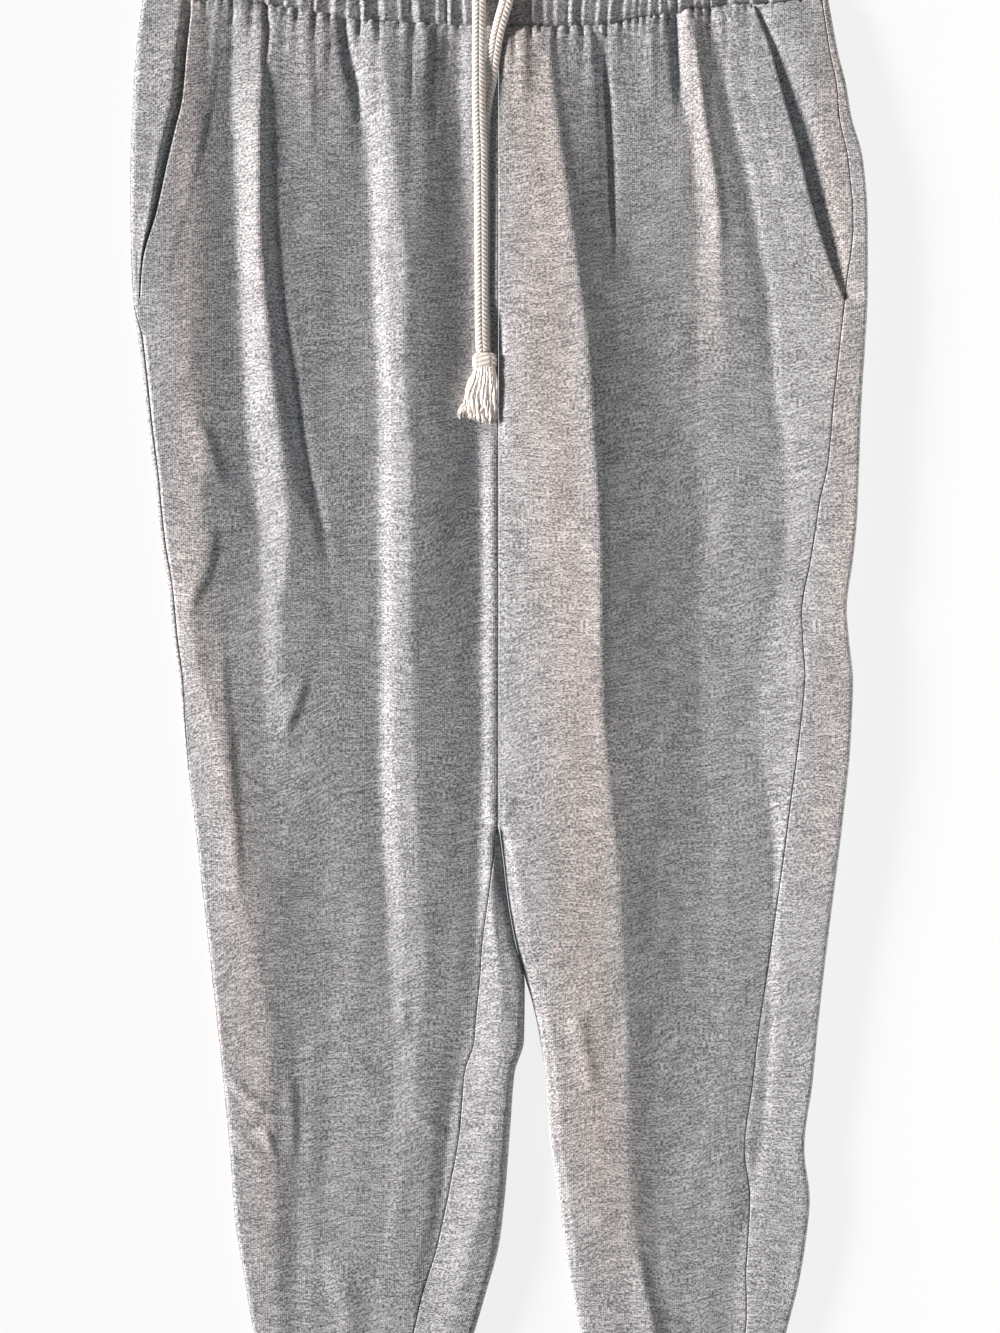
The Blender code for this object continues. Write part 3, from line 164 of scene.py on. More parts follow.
FOLDS = {           # crests and feet of the long folds, (down, out, high)
    "right": {
        "cord_lip": (
            (0, 2, 7.2), (20, 2, 8), (46, 2.2, 9.2), (84, 2.2, 9.6), (174, 2.2, 9.6),
            (196, 2, 4.6),
            (252, 2, 4.8), (268, 1.5, 8.2), (507, 1.5, 8.2), (558, 0.5, 8.8), (622, -6.5, 10.2),
            (660, -4.5, 10.7), (718, 5.5, 10.8), (788, 16.5, 10.3), (820, 24.5, 9.8),
            (880, 38.5, 7.2),
        ),
        "cord_bed": (
            (0, 5, 6.8), (20, 5.2, 6.2), (46, 5.2, 6.4), (174, 5.2, 6.4), (196, 5.2, 5),
            (252, 5.2, 4.7),
            (268, 3.2, 8.4), (507, 3.2, 8.5), (558, 2.2, 9.1), (622, -4.8, 10.2),
            (660, -2.8, 10.6), (718, 7.2, 10.6), (788, 18.2, 10.2), (820, 26.2, 9.7),
            (880, 40.2, 7.3),
        ),
        "beside_centre": (
            (0, 17, 7.6), (20, 18, 7), (46, 18, 6.4), (84, 17, 5.4), (123, 14, 4.3),
            (174, 12, 4), (252, 10, 4.3), (268, 4.8, 8.2), (276, 4.8, 8.4), (366, 4.8, 8.2),
            (507, 4.8, 8.4), (558, 4, 9.4), (622, -3, 10.5), (660, -1, 10.5), (686, 4, 10),
            (718, 9, 10), (750, 12, 10), (788, 20, 10), (820, 28, 9.6), (880, 42, 7.4),
        ),
        "centre_valley": (
            (-8, 26, 6.6), (20, 27, 4.8), (46, 26, 4.3), (84, 23.5, 4.3), (123, 21, 4.3),
            (174, 17, 4.3), (225, 16, 4.4), (276, 11.5, 4.9), (379, 10.5, 5.4), (481, 10.5, 5.9),
            (545, 12, 5.5), (616, 14.5, 5.4), (648, 19, 5), (699, 31, 4.9), (750, 36, 4.9),
            (801, 45, 5.3), (834, 52, 6), (880, 61, 5.8),
        ),
        "slope_b": (
            (-8, 44, 7.6), (20, 48, 8.8), (46, 49, 9.8), (84, 48, 10.9), (174, 45, 10.9),
            (276, 40, 11), (379, 36, 9.7), (430, 34, 9.5), (481, 33, 9.2), (545, 32, 8.3),
            (596, 31, 7.4), (648, 38, 6.8), (750, 46, 6.6), (834, 60, 6.4), (880, 66, 6.2),
        ),
        "ridge_b": (
            (-8, 80, 8.6), (20, 74, 12), (46, 70, 12.9), (84, 66, 13.1), (174, 59, 13.4),
            (225, 60, 13.7), (276, 56, 13.5), (379, 56, 12.6), (481, 53, 11.6), (545, 50, 10.3),
            (596, 47, 9.2), (648, 52, 7.8), (699, 56, 7), (834, 72, 6.8), (880, 74, 6.5),
        ),
        "brow_b": (
            (-8, 88, 7.8), (20, 83, 9.6), (46, 77.5, 10.6), (84, 73.5, 10.7), (174, 71, 10.7),
            (276, 67.5, 10.7), (379, 67, 10.4), (481, 66, 9.9), (545, 62, 9.1), (596, 60, 7.9),
            (648, 60, 7), (699, 62, 6.7), (834, 78, 6.6), (880, 80, 6.4),
        ),
        "foot_b": (
            (-8, 103, 7.4), (20, 97.5, 6.8), (46, 90, 5.6), (84, 83.5, 5.2), (174, 80, 5.3),
            (225, 77, 5.4), (328, 76, 5.4), (481, 75.5, 5.4), (545, 72, 5.3), (596, 70.5, 5.7),
            (648, 67, 6.2), (750, 69.5, 6.3), (834, 84, 6.4), (880, 85, 6.2),
        ),
        "middle": (
            (-8, 107, 8), (20, 102, 8.4), (46, 97, 7.4), (84, 98, 6.5), (123, 104, 6.4),
            (238, 101.5, 6.2), (366, 92, 6.2), (622, 88.5, 6.6), (834, 98, 6.8), (880, 98, 6.4),
        ),
        "foot_a": (
            (-8, 145, 7.8), (20, 145.5, 7.8), (46, 145.5, 8.4), (84, 144, 9.1), (123, 141.5, 9.9),
            (174, 138, 9.9), (225, 132, 9.4), (276, 122, 8.5), (328, 109, 7.6), (379, 104, 7.2),
            (430, 106, 7.2), (507, 110, 6.9), (622, 108, 6.3), (750, 111, 6.4), (880, 111, 6.3),
        ),
        "ridge_a": (
            (-8, 149, 8.4), (20, 149.5, 10), (46, 152, 11.8), (84, 152.5, 13.4), (123, 153, 13.8),
            (174, 149.5, 13.6), (225, 145, 13.2), (276, 138, 12.6), (328, 134, 11.2),
            (379, 140, 9.6),
            (430, 138, 9.2), (507, 133, 8.3), (622, 122, 7), (750, 119.5, 6.9), (880, 119, 6.4),
        ),
        "before_ridge_a": (
            (-8, 168, 6.8), (20, 170.5, 5.6), (46, 170.5, 5.2), (84, 168.5, 5), (123, 167.5, 5),
            (174, 165, 5), (225, 163, 5), (276, 159, 5), (328, 152.5, 5.6), (379, 152, 6.8),
            (430, 151, 7.8), (481, 148, 8.4), (545, 140, 8.8), (622, 131, 7.6), (700, 128, 6.9),
            (880, 129, 6.3),
        ),
        "side_crest": (
            (-8, 190, 7.4), (20, 192, 8), (52, 195, 8.2), (84, 192, 8.4), (123, 195, 8.6),
            (174, 197, 8.6), (225, 197, 8.8), (276, 189, 8.9), (328, 191, 9.3), (379, 196, 9.2),
            (430, 186, 10), (481, 173.5, 10.6), (545, 166, 10.4), (596, 154, 9.8),
            (648, 146, 9.2), (699, 145, 8.6), (750, 143, 8.2), (834, 140, 7.4), (880, 138, 6.6),
        ),
    },
    "left": {
        "beside_cord": (
            (0, 8.5, 11), (20, 6, 11.2), (46, 5.5, 10.7), (174, 5.5, 10.4), (196, 3, 9.8),
            (252, 3, 9.8), (268, 5.5, 9.6), (509, 5.5, 9.2),
            (545, 12, 10.4), (600, 24, 9.8), (648, 34, 10), (750, 44, 9.4), (834, 60, 8),
            (880, 70, 7.4),
        ),
        "ridge_c": (
            (-8, 31, 11.2), (20, 33, 12.4), (46, 35.5, 13.8), (84, 39.5, 15.2), (123, 45, 16.6),
            (174, 52, 18), (225, 58, 19.2), (276, 61.5, 19.6), (328, 65, 19.6), (379, 65.5, 19.2),
            (430, 66, 18.6), (481, 71, 18), (545, 77, 17.2), (596, 79, 16), (648, 82, 14.6),
            (699, 82.5, 13.4), (750, 84.5, 12.2), (801, 92, 10.8), (834, 97, 9.6), (880, 100, 7.8),
        ),
        "shoulder_c": (
            (-8, 61, 8.8), (20, 61.5, 9.8), (46, 62.5, 10.4), (84, 65.5, 10.8), (123, 68.5, 11.4),
            (174, 72, 13.2), (225, 77, 14.5), (276, 80, 15.2), (328, 85, 15), (379, 87, 14.7),
            (430, 90, 14.2), (545, 99, 13.2), (648, 101, 11.3), (750, 100, 9.8), (834, 108, 8.3),
            (880, 107, 7.4),
        ),
        "foot_c": (
            (-8, 64, 8.6), (20, 68.5, 8.4), (46, 70.5, 8.6), (84, 73.5, 8.9), (123, 77, 9),
            (155, 85, 9.4),
            (174, 93, 9.6), (225, 101, 9.8), (276, 107, 10), (328, 110, 10.3), (379, 111, 10.4),
            (430, 112, 10.5), (545, 118, 10), (648, 117, 9.4), (750, 114, 8.8), (834, 120, 7.7),
            (880, 116, 7.2),
        ),
        "before_ridge_d": (
            (-8, 113.5, 7.6), (20, 115.5, 6.8), (46, 119, 6.6), (84, 125, 6.6), (123, 128, 6.6),
            (174, 127, 6.8), (238, 128, 7.2), (328, 129, 7.4), (430, 130, 7.7), (545, 136, 8.3),
            (648, 133, 8.2), (750, 132, 8), (834, 133, 7.6), (880, 130, 6.8),
        ),
        "ridge_d": (
            (-8, 122.5, 8.8), (20, 127, 11), (46, 131, 10.8), (84, 136, 10.4), (123, 141.5, 10),
            (174, 144, 8.8), (238, 146, 7.5), (328, 146, 7.3), (430, 144, 7.5), (545, 149, 7.8),
            (648, 147, 7.7), (750, 145, 7.5), (834, 142, 7), (880, 138, 6.6),
        ),
        "foot_d": (
            (-8, 136.5, 7.8), (20, 141, 8.4), (46, 147, 8.6), (84, 155, 8.2), (123, 164, 7.6),
            (174, 173, 6.8), (238, 177, 6.6), (276, 180, 6.6), (328, 183, 6.8), (379, 174, 6.8),
            (430, 166, 6.6), (481, 171, 6.1), (545, 178, 5.7), (596, 176, 5.7), (699, 171, 5.8),
            (750, 162, 6.1), (801, 152, 6.8), (880, 145, 6.6),
        ),
    },
}
CENTRE_HIGH = (
    (0, 7.2), (20, 8.4), (46, 9.7), (174, 9.7), (196, 5.1), (252, 5.2), (268, 7.8), (509, 7.8),
)
FACING_HIGH = {     # (down, at mouth, near the mouth, swell)
    "right": (
        (-21, 6, 7.6, 8), (0, 5.6, 8.8, 8.6), (20, 5.4, 9.8, 9.1), (40, 5.2, 10.2, 9.4),
        (120, 4.6, 9.8, 9), (160, 4.6, 7, 7.4), (175, 4.6, 5, 7),
    ),
    "left": (
        (-21, 6, 8.2, 8.6), (14, 6.6, 9.2, 9.8), (30, 6.4, 8.4, 10), (52, 6, 7.4, 10.2),
        (110, 6, 7.4, 10.6), (140, 7.2, 8.6, 10.8), (160, 8.4, 9.8, 11), (175, 9, 10.4, 11.2),
    ),
}
# Short creases: points (across, down), width to the wearer's right and left, height
CREASES = {
    "side_drag": (
        ((-202, 241), (-188, 257), (-183.5, 270), (-180, 283), (-175, 299)), 9.0, 2.6, 1.0,
    ),
    "side_nick": (((-209, 285), (-200, 287), (-191, 289)), 2.6, 1.9, 0.9),
    "side_curl": (
        ((-182.5, 312), (-183.5, 334), (-188, 353), (-196, 366), (-198.5, 382)), 7.7, 2.6, 1.1,
    ),
    "side_edge": (
        ((-182.5, 366), (-177.5, 385), (-175, 430), (-170.5, 481), (-166.5, 532), (-165, 571)),
        7.7, 2.6, 0.9,
    ),
    "knee_fold": (((-134, 668), (-131.5, 699), (-132, 728)), 5.5, 3, 0.9),
    "knee_slant": (((-174.5, 671), (-159, 684), (-144.5, 695)), 3.8, 2.6, 1.6),
    "knee_arc_a": (((-128.5, 658), (-115.5, 653), (-102.5, 650)), 2.6, 2.6, 0.7),
    "knee_arc_b": (((-102.5, 652), (-91, 659), (-81, 671)), 2.6, 2.6, 0.7),
    "knee_arc_c": (((-58, 691), (-42.5, 703), (-27, 713)), 3.2, 2.6, 1.2),
    "thigh_streak": (((-122.5, 411), (-129.5, 433), (-138.5, 454)), 3.8, 2.6, 1.1),
    "ridge_b_end": (((-63, 622), (-59, 643)), 4.5, 3.8, 0.9),
    "middle_drop": (
        ((-101.5, -20), (-97.5, 8), (-92.5, 27), (-89.5, 46), (-87.5, 70)), 2, 2, -1.9,
    ),
    "foot_a_nick": (((-149.5, -20), (-147.5, 2), (-149.5, 20), (-147, 50)), 1.8, 1.8, -2),
    "ridge_a_foot": (
        ((-148, 11), (-148, 46), (-146, 110), (-143, 142), (-140, 174), (-134.5, 206),
        (-129.5, 238),
         (-126, 264), (-121.5, 289), (-114, 315), (-109, 340), (-108.5, 385)), 3.8, 3.8, -1.7,
    ),
    "gather_a": (((-121, -20), (-119.5, 40), (-119.5, 91)), 6.5, 2.6, 0.9),
    "gather_b": (((-109, -20), (-110.5, 14), (-113, 36)), 3.8, 3.2, 0.4),
    "gather_c": (((-46, -20), (-46, 17), (-46.5, 43)), 3.8, 3.2, 0.8),
    "gather_d": (((-60, -20), (-58.5, 17)), 3.2, 3.2, 1.2),
    "hem_fold": (((-110.5, 776), (-99.5, 804), (-94, 833), (-91, 875)), 7, 10.2, 0.7),
    "knee_tuck_a": (((-174, 694), (-164, 697), (-150, 699)), 3, 2.6, 1.1),
    "knee_tuck_b": (((-171, 706), (-163, 713), (-156, 719), (-146, 722)), 3.4, 2.4, 1.3),
    "knee_tuck_c": (((-152, 699), (-147, 711), (-143, 724)), 2.6, 2.2, 0.9),
    "shoulder_foot": (
        ((63.5, -2), (66.8, 20), (69.2, 46), (70.9, 84), (71.5, 110), (72.8, 136), (74, 164)),
        3.3, 3.0, -3,
    ),
    "deep_gather": (((112, -30), (115, 20), (117, 46), (120, 72)), 3.6, 3.2, -2.4),
    "ridge_d_lip": (
        ((122.5, -30), (127, 20), (129, 33), (132, 59), (135.5, 78), (139, 97), (142, 123),
         (142.5, 174), (141, 212)), 5.8, 1.9, 1.1,
    ),
    "foot_d_line": (
        ((136.5, -30), (140.5, 20), (143, 33), (147, 49), (151.5, 65), (155, 78), (158.5, 91),
         (162, 110), (165.5, 129), (167.5, 148), (172, 161), (174.5, 193), (177.5, 238),
         (182, 257), (185.5, 289), (186.5, 315), (188.5, 334), (192.5, 360)), 6.4, 3.2, -1.1,
    ),
    "side_notch": (((197, 350), (198.5, 372), (198, 396)), 4.5, 3.4, -0.8),
    "shin_light": (((47.5, 619), (54.5, 651), (60.5, 686)), 5.8, 5.1, 1.3),
    "ridge_c_lip": (
        ((30, -12), (36, 46), (44, 97), (51, 148), (57.5, 200), (62.5, 276), (65, 340),
        (65.5, 392),
         (67, 443), (70, 488), (74.5, 526), (78.5, 571), (81, 622)), 7.7, 2.6, 1,
    ),
    "gather_e": (((60, -20), (60.5, 20), (62, 43)), 3.2, 2.2, 0.8),
    "gather_f": (((97, -26), (97.5, 20), (99, 56)), 3.8, 3.2, 0.6),
    "gather_g": (((15.5, -20), (16.5, 27), (15, 62)), 5.8, 4.5, 1.3),
    "crotch_pull_a": (((-9.5, 492), (-3.5, 502), (0.5, 509)), 2.6, 1.9, 0.8),
    "crotch_pull_b": (((11, 489), (6, 499), (2, 508)), 2.6, 2.6, 0.8),
    "shin_fold_low": (((88, 772), (94, 808), (101, 835), (106, 872)), 7.7, 3.2, 1),
}
# Streaks of painted warm light in the cloth's colour: points (across, down), width each way,
# strength
PAINTED_WARM_STREAKS = {
    "slope_c": (
        ((6, -40), (20, 40), (30, 100), (34, 180), (34, 240), (42, 312), (51, 417), (57, 523),
         (55, 593), (62, 700), (74, 770), (82, 870)), 24, 20, 1.0,
    ),
    "side": (
        ((-199, -40), (-199, 120), (-197, 240), (-198, 350), (-190, 400), (-182, 440), (-168, 500),
         (-165, 560), (-159, 640), (-152, 720), (-148, 800), (-136, 870)), 12, 12, 0.7,
    ),
    "rim": (((214, -40), (213, 60), (221, 200), (222, 300), (214, 430), (200, 600)), 11, 11, 0.75),
    "panel_d": (((124, -40), (128, 40), (133, 120), (134, 190), (128, 250)), 12, 13, 0.45),
    "ridge_a": (((-153, -40), (-152, 100), (-150, 210)), 9, 8, 0.35),
    "puffs": (((-118, -40), (-116, 20), (-114, 60)), 12, 12, 0.4),
    "knee": (((-190, 620), (-166, 660), (-140, 690)), 12, 12, 0.4),
}
# Soft hollows pressed into the underside: points (across, down), width, depth
UNDER_CREASES = (
    (((-150, -5), (-140, 160), (-120, 330)), 14, 0.9), (((-70, -5), (-60, 210),
    (-66, 380)), 12, 0.8),
    (((60, -5), (76, 180), (88, 420)), 15, 0.9), (((150, -5), (165, 200), (172, 380)), 12, 0.7),
    (((-205, 250), (-120, 430), (-20, 500)), 10, 0.7), (((205, 240), (130, 420),
    (20, 498)), 11, 0.8),
    (((-110, 560), (-96, 700), (-100, 860)), 12, 0.8), (((120, 570), (130, 720),
    (124, 860)), 13, 0.8),
    (((-160, 640), (-100, 690), (-40, 720)), 8, 0.7), (((190, 650), (120, 700),
    (60, 716)), 8, 0.7),
)
# Grooves between the gathers at the waist seam, across
GATHER_GROOVES = (
    -231, -205, -186, -171, -158, -149.5, -137, -129, -118.5, -108, -97.5, -89.5, -76.5, -64.5,
    -56.5, -40, -34, -23.5, -12.5, -1, 10.5, 20.5, 30, 36, 44.5, 53.5, 61.5, 69.5, 79.5, 85, 89,
    94.5, 102, 108, 113.5, 125, 129.5, 134.5, 146, 160, 172, 188, 201, 216,
)
WAISTBAND_WALL = 3.0
WAISTBAND_ROWS = (  # (up, right, left, high)
    (0.0, 228, 211.5, 7.8), (5.0, 227.6, 211, 9.0), (22.0, 226, 209, 9.4),
    (40.0, 224.5, 207, 9.0), (45.0, 224, 206.5, 7.4),
)
BAND_TOP_DROP = 0.95    # how much of the seam's curve the top of the waistband keeps
BAND_SEAM_HIGH = 4.5    # height at which the waistband runs into its seam
BAND_PLEATS = 0.11      # height of a pleat against its width
BAND_COLUMNS = (451, 221)       # upper layer, lower layer
BUTTONHOLE_SIZE = (10.2, 17.0)
BUTTONHOLES = {"right": -12.4, "left": 6.4}
BUTTONHOLE_DOWN = -24.0
BUTTONHOLE_SIDES = 32
STITCHES = 46           # round one buttonhole
STITCH_LINE = ((-0.75, -0.9), (-0.6, 0.1), (0.0, 0.45), (1.0, 0.25), (1.6, -0.3))  # out, up
CUFF_WALL = 2.2
CUFF_HIGH = 6.8
CUFF_COLUMNS = (241, 201)       # upper layer, lower layer
TUBE_FOLD = 4.0         # rounding at the sides of the waistband and the cuffs
CUFFS = {"right": ((145.5, 33), (141.5, 36.5)), "left": ((172, 64.5), (168.5, 68))}
CORD_ROUTES = {     # (across, down, high)
    "right": (
        (-12.4, -25, 7.6), (-12.4, -21, 12.0), (-12.4, -14, 13.4), (-12.5, -4, 13.0),
        (-12.6, 10, 11.6), (-12.6, 22, 12.4), (-12.6, 32, 13.2), (-12.5, 46, 12.0),
        (-12.2, 62, 11.1), (-11.4, 80, 10.6), (-11.2, 104, 10.2), (-11.0, 130, 10.0),
        (-10.9, 156, 9.9), (-10.8, 180, 9.9), (-10.5, 198, 10.0), (-10.0, 207.4, 10.4),
    ),
    "left": (
        (6.4, -25, 7.6), (5.9, -21, 12.0), (4.4, -14, 13.2), (1.4, -4, 12.6),
        (-1.2, 6, 11.5), (-3.1, 18, 10.9), (-5.0, 32, 10.6), (-7.6, 46, 8.6),
        (-9.2, 62, 7.3), (-9.6, 80, 6.9), (-9.6, 104, 6.4), (-9.5, 130, 6.2),
        (-9.5, 156, 6.1), (-9.4, 180, 6.1), (-9.2, 198, 6.2), (-9.0, 208.2, 6.3),
    ),
}
CORD_SIZE = (9.2, 3.6)
KNOT_SIZE = (16.0, 10.4, 3.9)
KNOTS = {"right": (-8.9, 213.1, 10.6), "left": (-9.0, 213.9, 6.3)}
TASSELS = {         # yarns, spread, drift, drop, settle
    "right": (84, 4.0, -4.2, 0.6, 0.3),
    "left": (56, 4.0, -3.0, -0.5, 0.3),
}
YARN_LENGTH = 34
CORD_SIDES = 64
GOLDEN = 0.6180339887   # spreads the yarns evenly through the knot
# The stage, in metres
FLOOR_REACH, FLOOR_HIGH = 6, -0.0006
CARD_SIZE, CARD_PLACE = (0.06, 1.3), (0.55, -0.02, 0.09)
SENSOR = 36             # width of the camera's sensor, in millimetres


# ---------------------------------------------------------------- settings

class ClothSettings(PropertyGroup):
    """Sizes and colours of the sweatshirt fleece."""
    column_step: FloatProperty(
        name="Column Step", description="Distance between the mesh columns of a front panel",
        default=2.0 * MM, min=0.5 * MM, unit='LENGTH')
    row_step: FloatProperty(
        name="Row Step", description="Distance between the mesh rows of a panel",
        default=2.6 * MM, min=0.5 * MM, unit='LENGTH')
    crispness: FloatProperty(
        name="Crispness", description="How sharply the cloth bends at the long folds",
        default=0.75, min=0, max=1, subtype='FACTOR')
    crease_height: FloatProperty(
        name="Crease Height", description="Height of the short creases against their table",
        default=1.0, min=0, max=2)
    gather_height: FloatProperty(
        name="Gather Height", description="Height of a gather against its width",
        default=0.11, min=0, max=0.4)
    unevenness: FloatProperty(
        name="Unevenness", description="Height of the slow waves of the cloth",
        default=1.0, min=0, max=3)
    dark_yarn: FloatVectorProperty(
        name="Dark Yarn", description="Colour of the dark fibres of the heather",
        default=(0.098, 0.103, 0.113), min=0, max=1, subtype='COLOR')
    light_yarn: FloatVectorProperty(
        name="Light Yarn", description="Colour of the light fibres of the heather",
        default=(0.62, 0.638, 0.662), min=0, max=1, subtype='COLOR')
    contrast: FloatProperty(
        name="Contrast", description="How far the fibres differ from one another",
        default=1.0, min=0, max=2)


class TrimSettings(PropertyGroup):
    """Sizes and colours of the waistband, the cuffs and the drawcords."""
    band_gather: FloatProperty(
        name="Band Gather", description="Height of the gathers of the waistband",
        default=1.9 * MM, min=0, unit='LENGTH')
    cuff_ribs: IntProperty(
        name="Cuff Ribs", description="Ribs across the front of a cuff", default=26, min=4)
    rib_height: FloatProperty(
        name="Rib Height", description="Height of a rib of the cuffs",
        default=0.8 * MM, min=0, unit='LENGTH')
    braid_columns: IntProperty(
        name="Braid Columns", description="Columns of yarn round a drawcord", default=4, min=2)
    braid_pitch: FloatProperty(
        name="Braid Pitch", description="Distance from one yarn to the next along a drawcord",
        default=2.8 * MM, min=0.5 * MM, unit='LENGTH')
    braid_colour: FloatVectorProperty(
        name="Braid Colour", description="Colour of the cotton of the drawcords",
        default=(0.82, 0.76, 0.71), min=0, max=1, subtype='COLOR')


class StageSettings(PropertyGroup):
    """Light, floor and camera."""
    key_strength: FloatProperty(
        name="Key Strength", description="Strength of the low light from the wearer's right",
        default=9.8, min=0)
    key_height: FloatProperty(
        name="Key Height", description="Angle of the low light above the surface",
        default=math.radians(16), min=0, max=math.pi / 2, subtype='ANGLE')
    key_size: FloatProperty(
        name="Key Size", description="Angle that the low light fills", default=math.radians(12),
        min=0, max=math.pi, subtype='ANGLE')
    key_colour: FloatVectorProperty(
        name="Key Colour", description="Colour of the low light", default=(1.0, 0.925, 0.885),
        min=0, max=1, subtype='COLOR')
    card_power: FloatProperty(
        name="Card Power", description="Power of the long pale card at the wearer's left, in watts",
        default=1.95, min=0)
    card_colour: FloatVectorProperty(
        name="Card Colour", description="Colour of the light from the card",
        default=(1.0, 0.94, 0.89), min=0, max=1, subtype='COLOR')
    fill_strength: FloatProperty(
        name="Fill Strength", description="Strength of the light from all round",
        default=0.2, min=0)
    fill_colour: FloatVectorProperty(
        name="Fill Colour", description="Colour of the light from all round",
        default=(0.93, 0.97, 1.0), min=0, max=1, subtype='COLOR')
    floor_colour: FloatVectorProperty(
        name="Floor Colour", description="Colour of the surface under the garment",
        default=(0.12, 0.12, 0.121), min=0, max=1, subtype='COLOR')
    floor_glow: FloatProperty(
        name="Floor Glow", description="Light that comes up through the pale table top",
        default=0.832, min=0)
    frame_length: FloatProperty(
        name="Frame Length", description="Length of the surface that the camera sees",
        default=0.8531, min=0.1, unit='LENGTH')
    lens: FloatProperty(name="Lens", description="Focal length in millimetres", default=100, min=20)


# ---------------------------------------------------------------- curves through the tables

def pchip(xs, ys, at):
    """Smooth curve through points, with no overshoot between them."""
    xs, ys, at = (np.asarray(v, float) for v in (xs, ys, at))
    step = np.diff(xs)
    slope = np.diff(ys) / step
    before, after = 2 * step[1:] + step[:-1], step[1:] + 2 * step[:-1]
    turning = slope[:-1] * slope[1:] <= 0
    safe = np.where(turning, 1.0, slope[:-1]), np.where(turning, 1.0, slope[1:])
    mean = np.where(turning, 0.0, (before + after) / (before / safe[0] + after / safe[1]))
    tangent = np.concatenate(([slope[0]], mean, [slope[-1]]))
    at = np.clip(at, xs[0], xs[-1])
    i = np.clip(np.searchsorted(xs, at) - 1, 0, len(step) - 1)
    t = (at - xs[i]) / step[i]
    return (ys[i] * (1 + 2 * t) * (1 - t) ** 2 + ys[i + 1] * t * t * (3 - 2 * t)
            + step[i] * (tangent[i] * t * (1 - t) ** 2 - tangent[i + 1] * t * t * (1 - t)))


def column(table, number, at):
    """Read one column of a table whose first column is the distance down."""
    table = np.array(table, float)
    return pchip(table[:, 0], table[:, number], at)


def ease(t):
    """0 to 1 with soft ends."""
    t = np.clip(t, 0.0, 1.0)
    return t * t * (3 - 2 * t)


def waist_shift(side, out, down, lower=False):
    """How far the curve of the waist seam moves a point of this row."""
    across, shift = np.array(WAIST_SEAM, float).T
    fade = max(0.0, 1 - down / SEAM_FADE)
    if lower:
        return np.interp(SIDES[side] * np.asarray(out), across[[1, -2]], shift[[1, -2]]) * fade
    return pchip(across, shift, SIDES[side] * np.asarray(out, float)) * fade


def line_in_row(side, table, down):
    """Place and height where a line crosses a row, allowing for the curve of the waist."""
    actual = down + waist_shift(side, column(table, 1, down), down)
    return tuple(float(column(table, number, actual)) for number in range(1, len(table[0])))


def world(side, places):
    """Points in metres from rows of (out, down, high); side None means across, not out."""
    sign = SIDES.get(side, 1)
    return np.stack((sign * places[..., 0], MIDDLE - places[..., 1], places[..., 2]), -1) * MM


# ---------------------------------------------------------------- one cross-section

